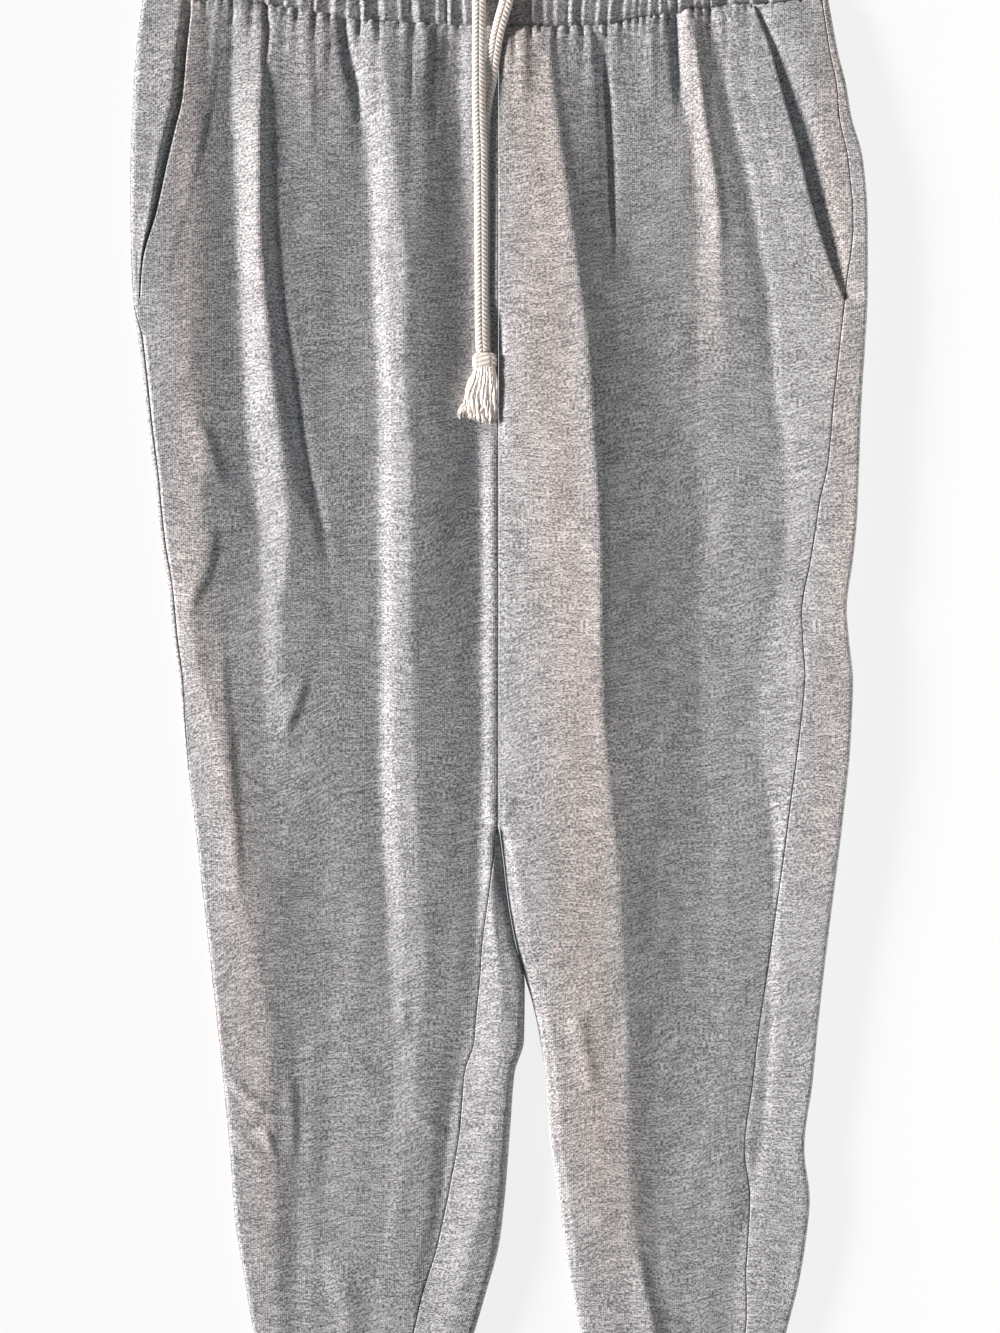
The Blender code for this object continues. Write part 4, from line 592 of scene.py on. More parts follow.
class Section:
    """One cross-section of one half, at a distance down the garment."""

    def __init__(self, side, down, crispness):
        self.side, self.down, self.crispness = side, float(down), crispness
        self.is_leg = down > FRONT_RISE
        self.edge, = line_in_row(side, OUTER_EDGE[side], down)
        at_edge = down + float(waist_shift(side, self.edge, down))
        self.radius = float(column(OUTER_FOLD[side], 1, at_edge))
        self.edge_high = float(column(OUTER_FOLD[side], 2, at_edge))
        self.has_pocket = down < POCKET_END
        self.seam_inset = float(column(SIDE_SEAM[side], 1, at_edge))
        self.inner = SEAM_GAP / 2
        self.inner_radius = self.inner_high = self.inseam_inset = 0.0
        if self.is_leg:
            self.inner += float(column(INNER_EDGE[side], 1, down))
            self.inner_radius = float(column(INNER_FOLD[side], 1, down))
            self.inner_high = float(column(INNER_FOLD[side], 2, down))
            self.inseam_inset = float(column(INSEAM[side], 1, down))
        self.outs, self.highs = self.find_knots()

    def find_knots(self):
        """Places and heights of the fold lines in this section, from the centre out."""
        if self.is_leg:
            knots = [(self.inner + self.inner_radius, self.inner_high)]
        else:
            knots = [(0.0, float(column(CENTRE_HIGH, 1, self.down)))]
        for table in FOLDS[self.side].values():
            knots.append(line_in_row(self.side, table, self.down))
        if self.has_pocket:
            knots.append(line_in_row(self.side, POCKET_EDGE[self.side], self.down))
        else:
            if self.seam_inset > self.radius + 2:
                seam_high = float(column(SIDE_SEAM[self.side], 2, self.down))
                knots.append((self.edge - self.seam_inset, seam_high))
            knots.append((self.edge - self.radius, self.edge_high))
        spaced = [knots[0]]
        for out, high in knots[1:]:
            spaced.append((max(out, spaced[-1][0] + 1.5), high))
        return tuple(np.array(spaced).T)

    def top(self, out):
        """Height of the outer face of the upper layer."""
        high = (1 - self.crispness) * pchip(self.outs, self.highs, out)
        for aside, share in BEND:
            high = high + self.crispness * share * np.interp(out + aside, self.outs, self.highs)
        return self.at_waist(high)

    def at_waist(self, high):
        """The cloth dips where it runs into the waist seam."""
        lost, run = WAIST_DIP
        left = 1 - lost * math.exp(-self.down / run)
        return WAIST_SEAM_HIGH + (high - WAIST_SEAM_HIGH) * left

    def facing_top(self, out):
        """Height of the facing where it shows, between the pocket mouth and the outer fold."""
        at_mouth, near, swell = (float(column(FACING_HIGH[self.side], number, self.down))
                                 for number in (1, 2, 3))
        mouth, tangent = self.outs[-1], self.edge - self.radius
        middle = mouth + max(0.5, 0.55 * (tangent - mouth))
        close = mouth + min(7.0, 0.6 * (middle - mouth))
        outs = (mouth - FACING_HIDDEN, mouth - 4, mouth, close, middle, max(tangent, middle + 0.5))
        highs = (3.2, at_mouth - 0.6, at_mouth, near, swell, self.edge_high)
        return self.at_waist(pchip(outs, highs, out))

    def seam_angle(self):
        """Angle of a side seam that lies on the rounding of the outer fold."""
        return math.degrees(math.acos(max(-1.0, 1 - self.seam_inset / self.radius)))

    # Each block below is a pair of arrays, outer and inner face, of rows
    # (out, down, high, lift).  Lift says how much of the creases a point takes: 1 on the
    # upper layer, 0 inside, -1 on the underside.

    def block(self, out, high, lift, wall_out, wall_high, lower=False):
        """Outer and inner points of one stretch of the section."""
        faces = []
        for outs, highs, share in ((out, high, lift), (wall_out, wall_high, max(lift, 0))):
            down = self.down + waist_shift(self.side, outs, self.down, lower)
            faces.append(np.stack(np.broadcast_arrays(outs, down, highs, share), -1))
        return faces

    def level(self, outs, highs, wall=CLOTH):
        """The upper layer between two places."""
        return self.block(outs, highs, 1.0, outs, highs - wall)

    def underside(self, outs):
        """The lower layer between two places."""
        return self.block(outs, 0.0, -1.0, outs, CLOTH, lower=True)

    def roll(self, out, high, away, count, lower=False):
        """The rounded cut edge of a panel; away is the way the edge faces, -1 or 1."""
        turn = np.linspace(0, math.pi / 2, count + 1)[1:]
        outs = out - away * ROLL * (1 - np.sin(turn))
        sunk = ROLL_SUNK * (1 - np.cos(turn))
        if lower:
            return self.block(outs, high + sunk, -1.0, outs, high + CLOTH, lower=True)
        return self.block(outs, high - sunk, 1.0, outs, high - CLOTH)

    def curl(self, out, high, count):
        """The turned edge of the pocket mouth."""
        turn = np.linspace(0, math.radians(165), count)
        outs = out - CURL + CURL * np.sin(turn)
        highs = high - CURL + CURL * np.cos(turn)
        inner = np.linspace(out - CURL, out - 0.6 * CURL, count)
        return self.block(outs, highs, 1.0, inner, high - 2 * CURL + 0.05)

    def fold(self, angles, sunk=0.0, inner=False):
        """Outer and inner points round a fold: 90 degrees is its top, -90 its bottom."""
        edge, radius, full = self.edge, self.radius, self.edge_high
        away = 1
        if inner:
            edge, radius, full, away = self.inner, self.inner_radius, self.inner_high, -1
        turn = np.radians(angles)
        down = self.down + waist_shift(self.side, edge, self.down)
        faces = []
        for wall in (sunk, CLOTH):
            outs = edge - away * radius + away * (radius - wall) * np.cos(turn)
            highs = full / 2 + (full / 2 - wall) * np.sin(turn)
            highs = np.where(turn > 0, self.at_waist(highs), highs)
            lift = np.clip(np.sin(turn), 0, 1) ** 2
            faces.append(np.stack(np.broadcast_arrays(outs, down, highs, lift), -1))
        return faces

    def seam_fold(self):
        """The outer fold from its top down to a side seam that lies on it."""
        seam = max(self.seam_angle() + math.degrees(SEAM_GAP / 2 / self.radius), 5)
        angles = np.concatenate((np.linspace(90, seam + 9, 8)[1:], [seam + 6, seam + 2.5, seam]))
        return self.fold(angles, np.concatenate((np.zeros(7), EDGE_SUNK)))


def flipped(pair):
    """The same block, run through the other way."""
    return [face[::-1] for face in pair]


def joined(blocks):
    """Blocks of one row, end to end."""
    return [np.concatenate([block[i] for block in blocks]) for i in (0, 1)]


def front_row(section, columns):
    """One row of a front panel, from the centre front or inseam to the pocket or side seam."""
    half = SEAM_GAP / 2
    right = section.side == "right"
    start = section.outs[0] + half
    if section.is_leg:
        start = section.inner + (section.inseam_inset + half if right else section.inner_radius)
    if section.is_leg and not right:
        seam = max(section.inner + section.inseam_inset - half, start + 0.4)
        under = np.linspace(seam - ROLL, start, 5)[1:]
        first = [
            flipped(section.roll(seam, 0.0, 1, 4, lower=True)),
            section.underside(under),
            section.fold(np.linspace(-90, 90, 12)[1:], inner=True),
        ]
    else:
        high = section.top(start + ROLL)
        first = [flipped(section.roll(start, high, -1, 5 if right else FRONT_INNER_COLUMNS))]
        start += ROLL
    end = section.outs[-1]
    if section.has_pocket:
        stop = end - CURL
    elif right:
        stop = end
    else:
        end = section.edge - section.seam_inset - half
        stop = end - ROLL
    outs = np.linspace(start, stop, columns + 1)[1:]
    highs, wall = section.top(outs), CLOTH
    if section.has_pocket:
        inward, fade = end - outs, ease((POCKET_END - section.down) / 25)
        hem = ease((POCKET_HEM + 1 - inward) / 2) * fade
        stitch = np.exp(-((inward - POCKET_HEM) / 0.9) ** 2) * fade
        highs = highs + 0.4 * hem - 0.3 * stitch
        wall = CLOTH + (2 * CURL - CLOTH) * hem
    middle = section.level(outs, highs, wall)
    if section.has_pocket:
        last = section.curl(end, highs[-1], 10)
    elif right:
        last = section.seam_fold()
    else:
        last = section.roll(end, highs[-1], 1, 10)
    return joined(first + [middle, last])


def back_row(section, columns):
    """One row of a back panel, from its side seam round to the centre back or inseam."""
    half = SEAM_GAP / 2
    if section.side == "left":
        seam = section.edge - section.seam_inset + half
        tangent = section.edge - section.radius
        outs = np.linspace(seam + ROLL, max(tangent, seam + ROLL + 0.3), 15)
        top = section.facing_top if section.has_pocket else section.top
        first = [
            flipped(section.roll(seam, float(top(seam + ROLL)), -1, 4)),
            section.level(outs[1:], top(outs[1:])),
            section.fold(np.linspace(90, -90, 14)[1:]),
        ]
    else:
        seam = section.seam_angle() - math.degrees(half / section.radius)
        angles = np.concatenate(([seam, seam - 2.5, seam - 6], np.linspace(seam - 9, -90, 12)))
        first = [section.fold(angles, np.concatenate((EDGE_SUNK[::-1], np.zeros(12))))]
    start, stop = section.edge - section.radius, section.inner
    if section.is_leg and section.side == "right":
        base = section.inner + section.inner_radius
        seam = max(section.inner + section.inseam_inset - half, base + 0.4 + ROLL)
        outs = np.linspace(base, seam - ROLL, 15)[1:]
        high = section.top(outs)
        middle = section.underside(np.linspace(start, base, columns + 1)[1:])
        last = [
            section.fold(np.linspace(-90, 90, 13)[1:], inner=True),
            section.level(outs, high),
            section.roll(seam, high[-1], 1, 5),
        ]
    else:
        if section.is_leg:
            stop += max(section.inseam_inset + half, section.inner_radius + 1)
        middle = section.underside(np.linspace(start, stop + ROLL, columns + 1)[1:])
        count = BACK_INNER_COLUMNS if section.side == "right" else 5
        last = [section.roll(stop, 0.0, -1, count, lower=True)]
    return joined(first + [middle] + last)


def facing_row(section):
    """One row of a pocket facing, from under the front to the side seam."""
    mouth, tangent = section.outs[-1], section.edge - section.radius
    covered, shown = FACING_COLUMNS
    hidden = np.linspace(mouth - FACING_HIDDEN, mouth - 0.6, covered)
    if section.side == "left":
        seam = section.edge - section.seam_inset - SEAM_GAP / 2
        outs = np.linspace(mouth, max(seam - ROLL, mouth + 0.5), shown)
        last = section.roll(outs[-1] + ROLL, float(section.facing_top(outs[-1])), 1, 10)
    else:
        outs = np.linspace(mouth, max(tangent, mouth + 0.6), shown)
        last = section.seam_fold()
    outs = np.concatenate((hidden, outs))
    walls = np.repeat(FACING_WALLS, FACING_COLUMNS)
    return joined([section.level(outs, section.facing_top(outs), walls), last])


# ---------------------------------------------------------------- creases and gathers

def ridge(across, down, points, to_right, to_left, height, taper=0.3):
    """Height of one crease that runs along a line of points."""
    points = np.array(points, float)
    reach = 3 * max(to_right, to_left)
    near = ((across > points[:, 0].min() - reach) & (across < points[:, 0].max() + reach)
            & (down > points[:, 1].min() - reach) & (down < points[:, 1].max() + reach))
    raised = np.zeros(across.shape)
    if not near.any():
        return raised
    x, y = across[near], down[near]
    runs = np.hypot(*np.diff(points, axis=0).T)
    length, travelled = runs.sum(), 0.0
    best, signed, place = np.full(x.shape, 1e9), np.zeros(x.shape), np.zeros(x.shape)
    for (ax, ay), (bx, by), run in zip(points, points[1:], runs):
        ux, uy = (bx - ax) / run, (by - ay) / run
        t = np.clip((x - ax) * ux + (y - ay) * uy, 0, run)
        away = np.hypot(x - ax - t * ux, y - ay - t * uy)
        turn = np.sign((x - ax) * uy - (y - ay) * ux)
        closer = away < best
        best = np.where(closer, away, best)
        signed = np.where(closer, away * turn, signed)
        place = np.where(closer, travelled + t, place)
        travelled += run
    width = np.where(signed < 0, to_right, to_left)
    ends = ease(place / (taper * length)) * ease((length - place) / (taper * length))
    if points[0, 1] < -10:
        ends = ease((length - place) / (1.6 * taper * length))
    raised[near] = height * np.exp(-(signed / width) ** 2) * ends
    return raised


def between_grooves(across):
    """Number and width of the gather at these places, and how far through it they lie."""
    grooves = np.array(GATHER_GROOVES, float)
    k = np.clip(np.searchsorted(grooves, across) - 1, 0, len(grooves) - 2)
    width = grooves[k + 1] - grooves[k]
    return k, width, np.clip((across - grooves[k]) / width, 0, 1)


def gathers(across, up, share):
    """Rounded puffs between the grooves; up is the distance along a gather."""
    k, width, t = between_grooves(across)
    puff = np.sin(math.pi * t) ** 0.75 - 0.55
    uneven = 0.75 + 0.35 * np.sin(2.4 * k + 0.7)
    length = width * (2.6 + 1.6 * np.sin(4.1 * k))
    raised = share * np.clip(width, 4, 13) * uneven * puff * np.exp(-(up / length) ** 1.2)
    nick = np.exp(-(t * width) ** 2) + np.exp(-((1 - t) * width) ** 2)
    raised -= (0.5 + 0.5 * np.sin(1.7 * k + 2)) * nick * np.exp(-(up / (0.8 * length)) ** 1.5)
    raised += 1.4 * seam_puffs(across) * np.exp(-(up / 4.5) ** 2)
    return raised * ease((across + 196) / 8) * ease((170 - across) / 8)


def seam_puffs(across):
    """Small round puffs where the cloth is drawn into the waist seam, about -0.5 to 0.5."""
    turn = across / 5.6 + 0.5 * np.sin(across / 13) + 0.2 * np.sin(across / 5.1)
    return np.abs(np.sin(math.pi * turn)) ** 0.6 - 0.65


def pleats(across):
    """Sharp pleats of the casing, each with its steep side towards the wearer's right."""
    k, width, t = between_grooves(across)
    crest = 0.24 + 0.1 * np.sin(3.7 * k)
    falling = 1 - np.clip((t - crest) / (1 - crest), 0, 1) ** 0.8
    shape = np.where(t < crest, ease(t / crest), falling)
    return np.clip(width, 4, 13) * (0.8 + 0.3 * np.sin(2.4 * k + 0.7)) * (shape - 0.5)


def unevenness(across, down):
    """Slow waves that no pressed cloth is free of."""
    wave = 0.34 * np.sin(across / 31 + 1.3 + 0.8 * np.sin(down / 57)) * np.sin(down / 83 + 0.4)
    wave += 0.20 * np.sin(across / 13.7 + down / 95 + 2.0) * np.sin(down / 39 + across / 61)
    wave += 0.11 * np.sin(across / 6.3 + down / 120) * np.sin(down / 21 + across / 25)
    wave += 0.05 * np.sin(across / 3.1 + 2 * np.sin(down / 60)) * np.sin(down / 13 + across / 17)
    return wave


def crease_relief(cloth, across, down, below_seam):
    """Everything that raises the upper layer over its long folds."""
    raised = cloth.unevenness * unevenness(across, down)
    for points, to_right, to_left, height in CREASES.values():
        raised += ridge(across, down, points, to_right, to_left, height * cloth.crease_height)
    raised += gathers(across, below_seam, cloth.gather_height)
    cuffward = LEG_END - down
    raised += 0.5 * np.sin(across * 1.05 + 0.6 * np.sin(across / 9)) * np.exp(-cuffward / 9)
    return raised


def under_relief(across, down):
    """Soft hollows in the underside, none deeper than the wall allows."""
    pressed = np.zeros(across.shape)
    for points, width, depth in UNDER_CREASES:
        pressed = np.maximum(pressed, ridge(across, down, points, width, width, depth))
    return pressed


def row_stations(cloth):
    """Distances down of the panel rows."""
    step = cloth.row_step / MM
    leg = FRONT_RISE + CROTCH_STEP
    return np.concatenate((
        np.arange(0, 8, 0.9), np.arange(8, 40, 1.8), np.arange(40, FRONT_RISE - 1, step),
        [FRONT_RISE], np.linspace(leg, LEG_END - 12, round((LEG_END - 12 - leg) / step)),
        np.arange(LEG_END - 10.5, LEG_END - 1, 1.5), [LEG_END],
    ))


def panel_faces(cloth, side, stations, row_maker):
    """Outer and inner grids of a panel, creases included."""
    rows = [row_maker(Section(side, down, cloth.crispness)) for down in stations]
    faces = [np.stack([row[i] for row in rows]) for i in (0, 1)]
    below = np.asarray(stations)[:, None]
    for face in faces:
        across, down, lift = SIDES[side] * face[..., 0], face[..., 1], face[..., 3]
        raised = crease_relief(cloth, across, down, np.broadcast_to(below, across.shape))
        upper, lower = np.clip(lift, 0, 1), np.clip(-lift, 0, 1)
        face[..., 2] += upper * raised + lower * under_relief(across, down)
        face[..., 1] -= upper * (1.2 + 2.2 * seam_puffs(across)) * np.exp(-below / 2.2)
    return faces


# ---------------------------------------------------------------- mesh building

def grid_quads(grid, closed):
    """Faces of a grid of points; in a closed one the last column meets the first."""
    if closed:
        grid = np.concatenate((grid, grid[:, :1]), axis=1)
    quads = np.stack((grid[:-1, :-1], grid[:-1, 1:], grid[1:, 1:], grid[1:, :-1]), -1)
    return quads.reshape(-1, 4).tolist()


def shell(name, faces, material, side=None, closed=False, uv_origin=None):
    """A cloth wall from its outer and inner grids; the inner face has every other line."""
    outer = faces[0][..., :3]
    rows, columns = outer.shape[:2]
    keep_rows = np.unique(np.append(np.arange(0, rows, 2), rows - 1))
    keep_columns = np.arange(0, columns, 2)
    if not closed:
        keep_columns = np.unique(np.append(keep_columns, columns - 1))
    inner = faces[1][np.ix_(keep_rows, keep_columns)][..., :3]
    flat = np.diff(outer[..., [0, 2]], axis=1)
    steps = np.hypot(*np.moveaxis(flat, -1, 0))
    run = np.concatenate((np.zeros((rows, 1)), np.cumsum(steps, 1)), 1)
    centre = columns // 2 if uv_origin is None else uv_origin
    run = run - run[:, centre:centre + 1] + outer[:, centre:centre + 1, 0]
    uv_outer = np.stack((run * SIDES.get(side, 1), -outer[..., 1]), -1) * MM
    uv_inner = uv_outer[np.ix_(keep_rows, keep_columns)]
    verts = np.concatenate((world(side, outer).reshape(-1, 3), world(side, inner).reshape(-1, 3)))
    uvs = np.concatenate((uv_outer.reshape(-1, 2), uv_inner.reshape(-1, 2)))
    out_grid = np.arange(rows * columns).reshape(rows, columns)
    in_grid = rows * columns + np.arange(inner[..., 0].size).reshape(inner.shape[:2])
    polygons = grid_quads(out_grid, closed) + grid_quads(in_grid, closed)
    edges = [(out_grid[end], in_grid[end], keep_columns, closed) for end in (0, -1)]
    if not closed:
        edges += [(out_grid[:, end], in_grid[:, end], keep_rows, False) for end in (0, -1)]
    for out_line, in_line, kept, ring in edges:
        for k in range(len(kept) - 1):
            rim = out_line[kept[k]:kept[k + 1] + 1].tolist()
            polygons.append(rim + [int(in_line[k + 1]), int(in_line[k])])
        if ring:
            rim = out_line[kept[-1]:].tolist() + [int(out_line[0])]
            polygons.append(rim + [int(in_line[0]), int(in_line[-1])])
    # The cloth's colour takes painted warm light along the streaks.
    return cloth_object(name, verts, polygons, uvs, material, painted_warm_light(verts))


def painted_warm_light(verts):
    """How much painted warm light the colour takes at points in metres, 0 to 1."""
    across, down = verts[:, 0] / MM, MIDDLE - verts[:, 1] / MM
    warmth = np.zeros(len(verts))
    for points, to_right, to_left, strength in PAINTED_WARM_STREAKS.values():
        warmth = np.maximum(warmth, ridge(across, down, points, to_right, to_left, strength, 0.12))
    return warmth


def add_object(name, data):
    """Put new data into the scene as an object."""
    thing = bpy.data.objects.new(name, data)
    bpy.context.scene.collection.objects.link(thing)
    return thing


def cloth_object(name, verts, polygons, uvs, material, dye):
    """A smooth mesh object with its faces pointing out, a UV point and a painted light value a
    vertex.
    """
    mesh = bpy.data.meshes.new(name)
    mesh.from_pydata(verts.tolist(), [], polygons)
    layer = mesh.uv_layers.new(name="cloth")
    loops = np.zeros(len(mesh.loops), np.int32)
    mesh.loops.foreach_get("vertex_index", loops)
    layer.data.foreach_set("uv", np.asarray(uvs, np.float32)[loops].ravel())
    values = np.broadcast_to(np.asarray(dye, np.float32), len(mesh.vertices)).copy()
    mesh.attributes.new("dye", 'FLOAT', 'POINT').data.foreach_set("value", values)
    work = bmesh.new()
    work.from_mesh(mesh)
    bmesh.ops.recalc_face_normals(work, faces=work.faces)
    work.to_mesh(mesh)
    work.free()
    mesh.shade_smooth()
    mesh.materials.append(material)
    return add_object(name, mesh)


def dress(thing, node):
    """Let a piece ride on the garment and stand for its CAD node."""
    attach(thing, "root")
    if node:
        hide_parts(node)
    return thing


# ---------------------------------------------------------------- waistband and cuffs

def tube_faces(rows, wall, counts, lift_upper, lift_lower, place_down):
    """Closed grids of a flattened tube.

    rows holds (along, right, left, high) and counts the columns of the upper and the
    lower layer; the lifts give the raised height at (across, along) and place_down the
    distance down at (across, along, lower).
    """
    radius = TUBE_FOLD
    outer_rows, inner_rows = [], []
    turns = np.radians(np.linspace(90, -90, 12)[1:-1])
    for along, right, left, high in rows:
        first, last = -right + radius, left - radius
        upper = np.linspace(first, last, counts[0])
        under = np.linspace(last, first, counts[1])
        for sink, store in ((0.0, outer_rows), (wall, inner_rows)):
            parts = []
            raised = lift_upper(upper, along) if not sink else 0.0
            fade = ease((upper - first) / 6) * ease((last - upper) / 6)
            parts.append((upper, place_down(upper, along, False), high - sink + fade * raised))
            out = last + (radius - sink) * np.cos(turns)
            parts.append((out, place_down(out, along, False),
                          high / 2 + (high / 2 - sink) * np.sin(turns)))
            pressed = lift_lower(under, along) if not sink else 0.0
            parts.append((under, place_down(under, along, True), sink + pressed + 0 * under))
            out = first - (radius - sink) * np.cos(turns)
            parts.append((out, place_down(out, along, False),
                          high / 2 - (high / 2 - sink) * np.sin(turns)))
            store.append(np.concatenate([np.stack(part, -1) for part in parts]))
    return np.stack(outer_rows), np.stack(inner_rows)


def band_rows():
    """Sections of the waistband, closely spaced at its seam and at its top fold."""
    ups = np.concatenate(([0, 0.5, 1.2, 2.2, 3.6], np.arange(5, 41, 1.8),
                          [41.5, 42.8, 43.8, 44.6, WAISTBAND_DEPTH]))
    table = np.array(WAISTBAND_ROWS)
    rows = []
    for up in ups:
        right, left = (np.interp(up, table[:, 0], table[:, i]) for i in (1, 2))
        high = pchip(table[:, 0], table[:, 3], up)
        high = BAND_SEAM_HIGH + (high - BAND_SEAM_HIGH) * (1 - math.exp(-up / 2.6))
        rows.append((up, right, left, float(high)))
    return rows


def band_down(across, up, lower):
    """Distance down of a point of the waistband."""
    keep = 1 - (1 - BAND_TOP_DROP) * up / WAISTBAND_DEPTH
    return waist_shift("left", across, 0, lower) * keep - up - SEAM_GAP


def build_waistband(trim, material):
    """Gathered casing with two buttonholes."""
    def upper(across, up):
        moved = across + 0.045 * up * np.sin(across / 17) + 0.5 * np.sin(up / 9 + across / 31)
        raised = BAND_PLEATS * pleats(moved) * trim.band_gather / MM
        ends = ease(up / 3 + 0.35) * ease((WAISTBAND_DEPTH - up) / 5 + 0.4)
        flat = np.ones(across.shape)
        for hole in BUTTONHOLES.values():
            away = ((across - hole) / 9) ** 2 + ((up + BUTTONHOLE_DOWN) / 11) ** 4
            flat -= np.exp(-away) * 0.9
        return raised * ends * np.clip(flat, 0.05, 1) + 0.15 * np.sin(up / 2.7 + across / 5)

    def lower(across, up):
        wave = 0.5 * np.sin(across * 0.62 + 0.9 * np.sin(across / 13))
        return np.clip(wave, 0, 1) * ease(up / 4)

    faces = tube_faces(band_rows(), WAISTBAND_WALL, BAND_COLUMNS, upper, lower, band_down)
    band = shell("waistband_cloth", faces, material, closed=True, uv_origin=0)
    for side, across in BUTTONHOLES.items():
        cut_buttonhole(band, side, across)
    return band


def oval(across, size, count, high):
    """Points of an upright oval on the waistband, in metres."""
    turn = np.linspace(0, 2 * math.pi, count, endpoint=False)
    return world(None, np.stack((across + size[0] / 2 * np.cos(turn),
                                 BUTTONHOLE_DOWN + size[1] / 2 * np.sin(turn),
                                 np.full(count, high)), -1))


def cut_buttonhole(band, side, across):
    """An oval hole through the upper wall of the waistband."""
    count = BUTTONHOLE_SIDES
    rings = [oval(across, BUTTONHOLE_SIZE, count, high) for high in (5.2, 13.2)]
    verts = np.concatenate(rings)
    sides = [(i, (i + 1) % count, count + (i + 1) % count, count + i) for i in range(count)]
    caps = [tuple(range(count)), tuple(range(count, 2 * count))]
    cutter = cloth_object("buttonhole_cutter_" + side, verts, sides + caps,
                          verts[:, :2], band.data.materials[0], 0.0)
    cut = band.modifiers.new("buttonhole", 'BOOLEAN')
    cut.operation, cut.solver, cut.object = 'DIFFERENCE', 'EXACT', cutter
    graph = bpy.context.evaluated_depsgraph_get()
    mesh = bpy.data.meshes.new_from_object(band.evaluated_get(graph))
    band.modifiers.clear()
    band.data = mesh
    bpy.data.objects.remove(cutter, do_unlink=True)


def swept(points, radii, sides, flatness=1.0):
    """Rings of a tube along points; radii is a number, or one value a ring and a side."""
    points = np.asarray(points, float)
    tangents = np.gradient(points, axis=0)
    tangents /= np.linalg.norm(tangents, axis=1)[:, None]
    normal = np.array((0.0, 0.0, 1.0)) if abs(tangents[0][2]) < 0.9 else np.array((0.0, -1.0, 0.0))
    turn = np.linspace(0, 2 * math.pi, sides, endpoint=False)
    radii = np.broadcast_to(radii, (len(points), sides))
    rings = []
    for k, (place, tangent) in enumerate(zip(points, tangents)):
        normal = normal - tangent * np.dot(normal, tangent)
        normal /= np.linalg.norm(normal)
        aside = np.cross(tangent, normal)
        rings.append(place + radii[k][:, None] * (np.cos(turn)[:, None] * aside
                                                  + flatness * np.sin(turn)[:, None] * normal))
    return np.stack(rings)


def travelled(line):
    """Distance along a line at each of its points."""
    return np.concatenate(([0], np.cumsum(np.linalg.norm(np.diff(line, axis=0), axis=1))))


def tube_mesh(rings, first=0):
    """Quads and caps of a tube; returns its points and its polygons."""
    count, sides = rings.shape[:2]
    grid = first + np.arange(count * sides).reshape(count, sides)
    caps = [grid[0].tolist()[::-1], grid[-1].tolist()]
    return rings.reshape(-1, 3), grid_quads(grid, True) + caps


def joined_tubes(name, tubes, material, painted_light_values=None):
    """One object from many tubes, each given by its rings and, where it varies, its painted light
    value.
    """
    verts, polygons, uvs, first = [], [], [], 0
    painted_light_values = painted_light_values or [0.0] * len(tubes)
    for number, rings in enumerate(tubes):
        points, faces = tube_mesh(rings, first)
        count, sides = rings.shape[:2]
        along = travelled(rings.mean(1))
        around = np.linspace(0, 1, sides, endpoint=False) * 0.004 + 0.013 * number
        uvs.append(np.stack(np.meshgrid(around, along), -1).reshape(-1, 2))
        verts.append(points)
        polygons += faces
        first += count * sides
    dye = np.concatenate([np.broadcast_to(value, rings.shape[:2]).ravel()
                          for value, rings in zip(painted_light_values, tubes)])
    return cloth_object(name, np.concatenate(verts), polygons, np.concatenate(uvs),
                        material, dye)


def build_buttonhole_edge(side, across, material):
    """The close stitches that bind a buttonhole."""
    size = (BUTTONHOLE_SIZE[0] + 1.0, BUTTONHOLE_SIZE[1] + 1.0)
    centres = oval(across, size, STITCHES, 9.3)
    middle = centres.mean(axis=0)
    tubes = []
    for place in centres:
        away = place - middle
        away /= np.linalg.norm(away)
        line = [place + away * reach * MM + np.array((0, 0, rise * MM))
                for reach, rise in STITCH_LINE]
        tubes.append(swept(line, 0.42 * MM, 6))
    return joined_tubes("buttonhole_stitching_" + side, tubes, material)


def build_cuff(trim, side, material):
    """Elastic rib cuff, an open flattened tube."""
    ribs, height = trim.cuff_ribs, trim.rib_height / MM
    (top_outer, top_inner), (end_outer, end_inner) = CUFFS[side]
    rows = []
    for part in np.concatenate(([0, 0.02, 0.05], np.linspace(0.1, 0.9, 15), [0.95, 0.98, 1.0])):
        outer = top_outer + (end_outer - top_outer) * part
        inner = top_inner + (end_inner - top_inner) * part
        right, left = (outer, -inner) if side == "right" else (-inner, outer)
        high = CUFF_HIGH + pchip((0, 0.06, 0.5, 0.94, 1), (-0.9, 0.1, 0.5, -0.1, -1.1), part)
        rows.append((float(part), right, left, float(high)))

    def rib(across, part, share):
        centre = SIDES[side] * (top_outer + top_inner) / 2
        narrowed = 1 - 0.045 * part
        phase = (across - centre) / narrowed / (top_outer - top_inner) * ribs
        wave = np.abs(np.sin(math.pi * phase)) ** 0.7 - 0.35
        return share * height * wave * (0.35 + 0.65 * ease(part / 0.06) * ease((1 - part) / 0.05))

    def place_down(across, part, lower):
        down = LEG_END + SEAM_GAP + (CUFF_DEPTH - SEAM_GAP) * part
        return down + 0 * across + 0.6 * part * np.sin(across / 19 + SIDES[side])

    faces = tube_faces(rows, CUFF_WALL, CUFF_COLUMNS, lambda a, p: rib(a, p, 1.0),
                       lambda a, p: np.clip(rib(a, p, 0.6), 0, 1), place_down)
    return shell("cuff_cloth_" + side, faces, material, closed=True, uv_origin=0)


# ---------------------------------------------------------------- drawcords

def smooth_route(points, spacing):
    """Even points, in metres, on a smooth curve through a route in millimetres."""
    route = world(None, np.array(points, float))
    run = travelled(route)
    at = np.linspace(0, run[-1], 1 + round(run[-1] / spacing))
    return np.stack([pchip(run, route[:, i], at) for i in range(3)], -1), at


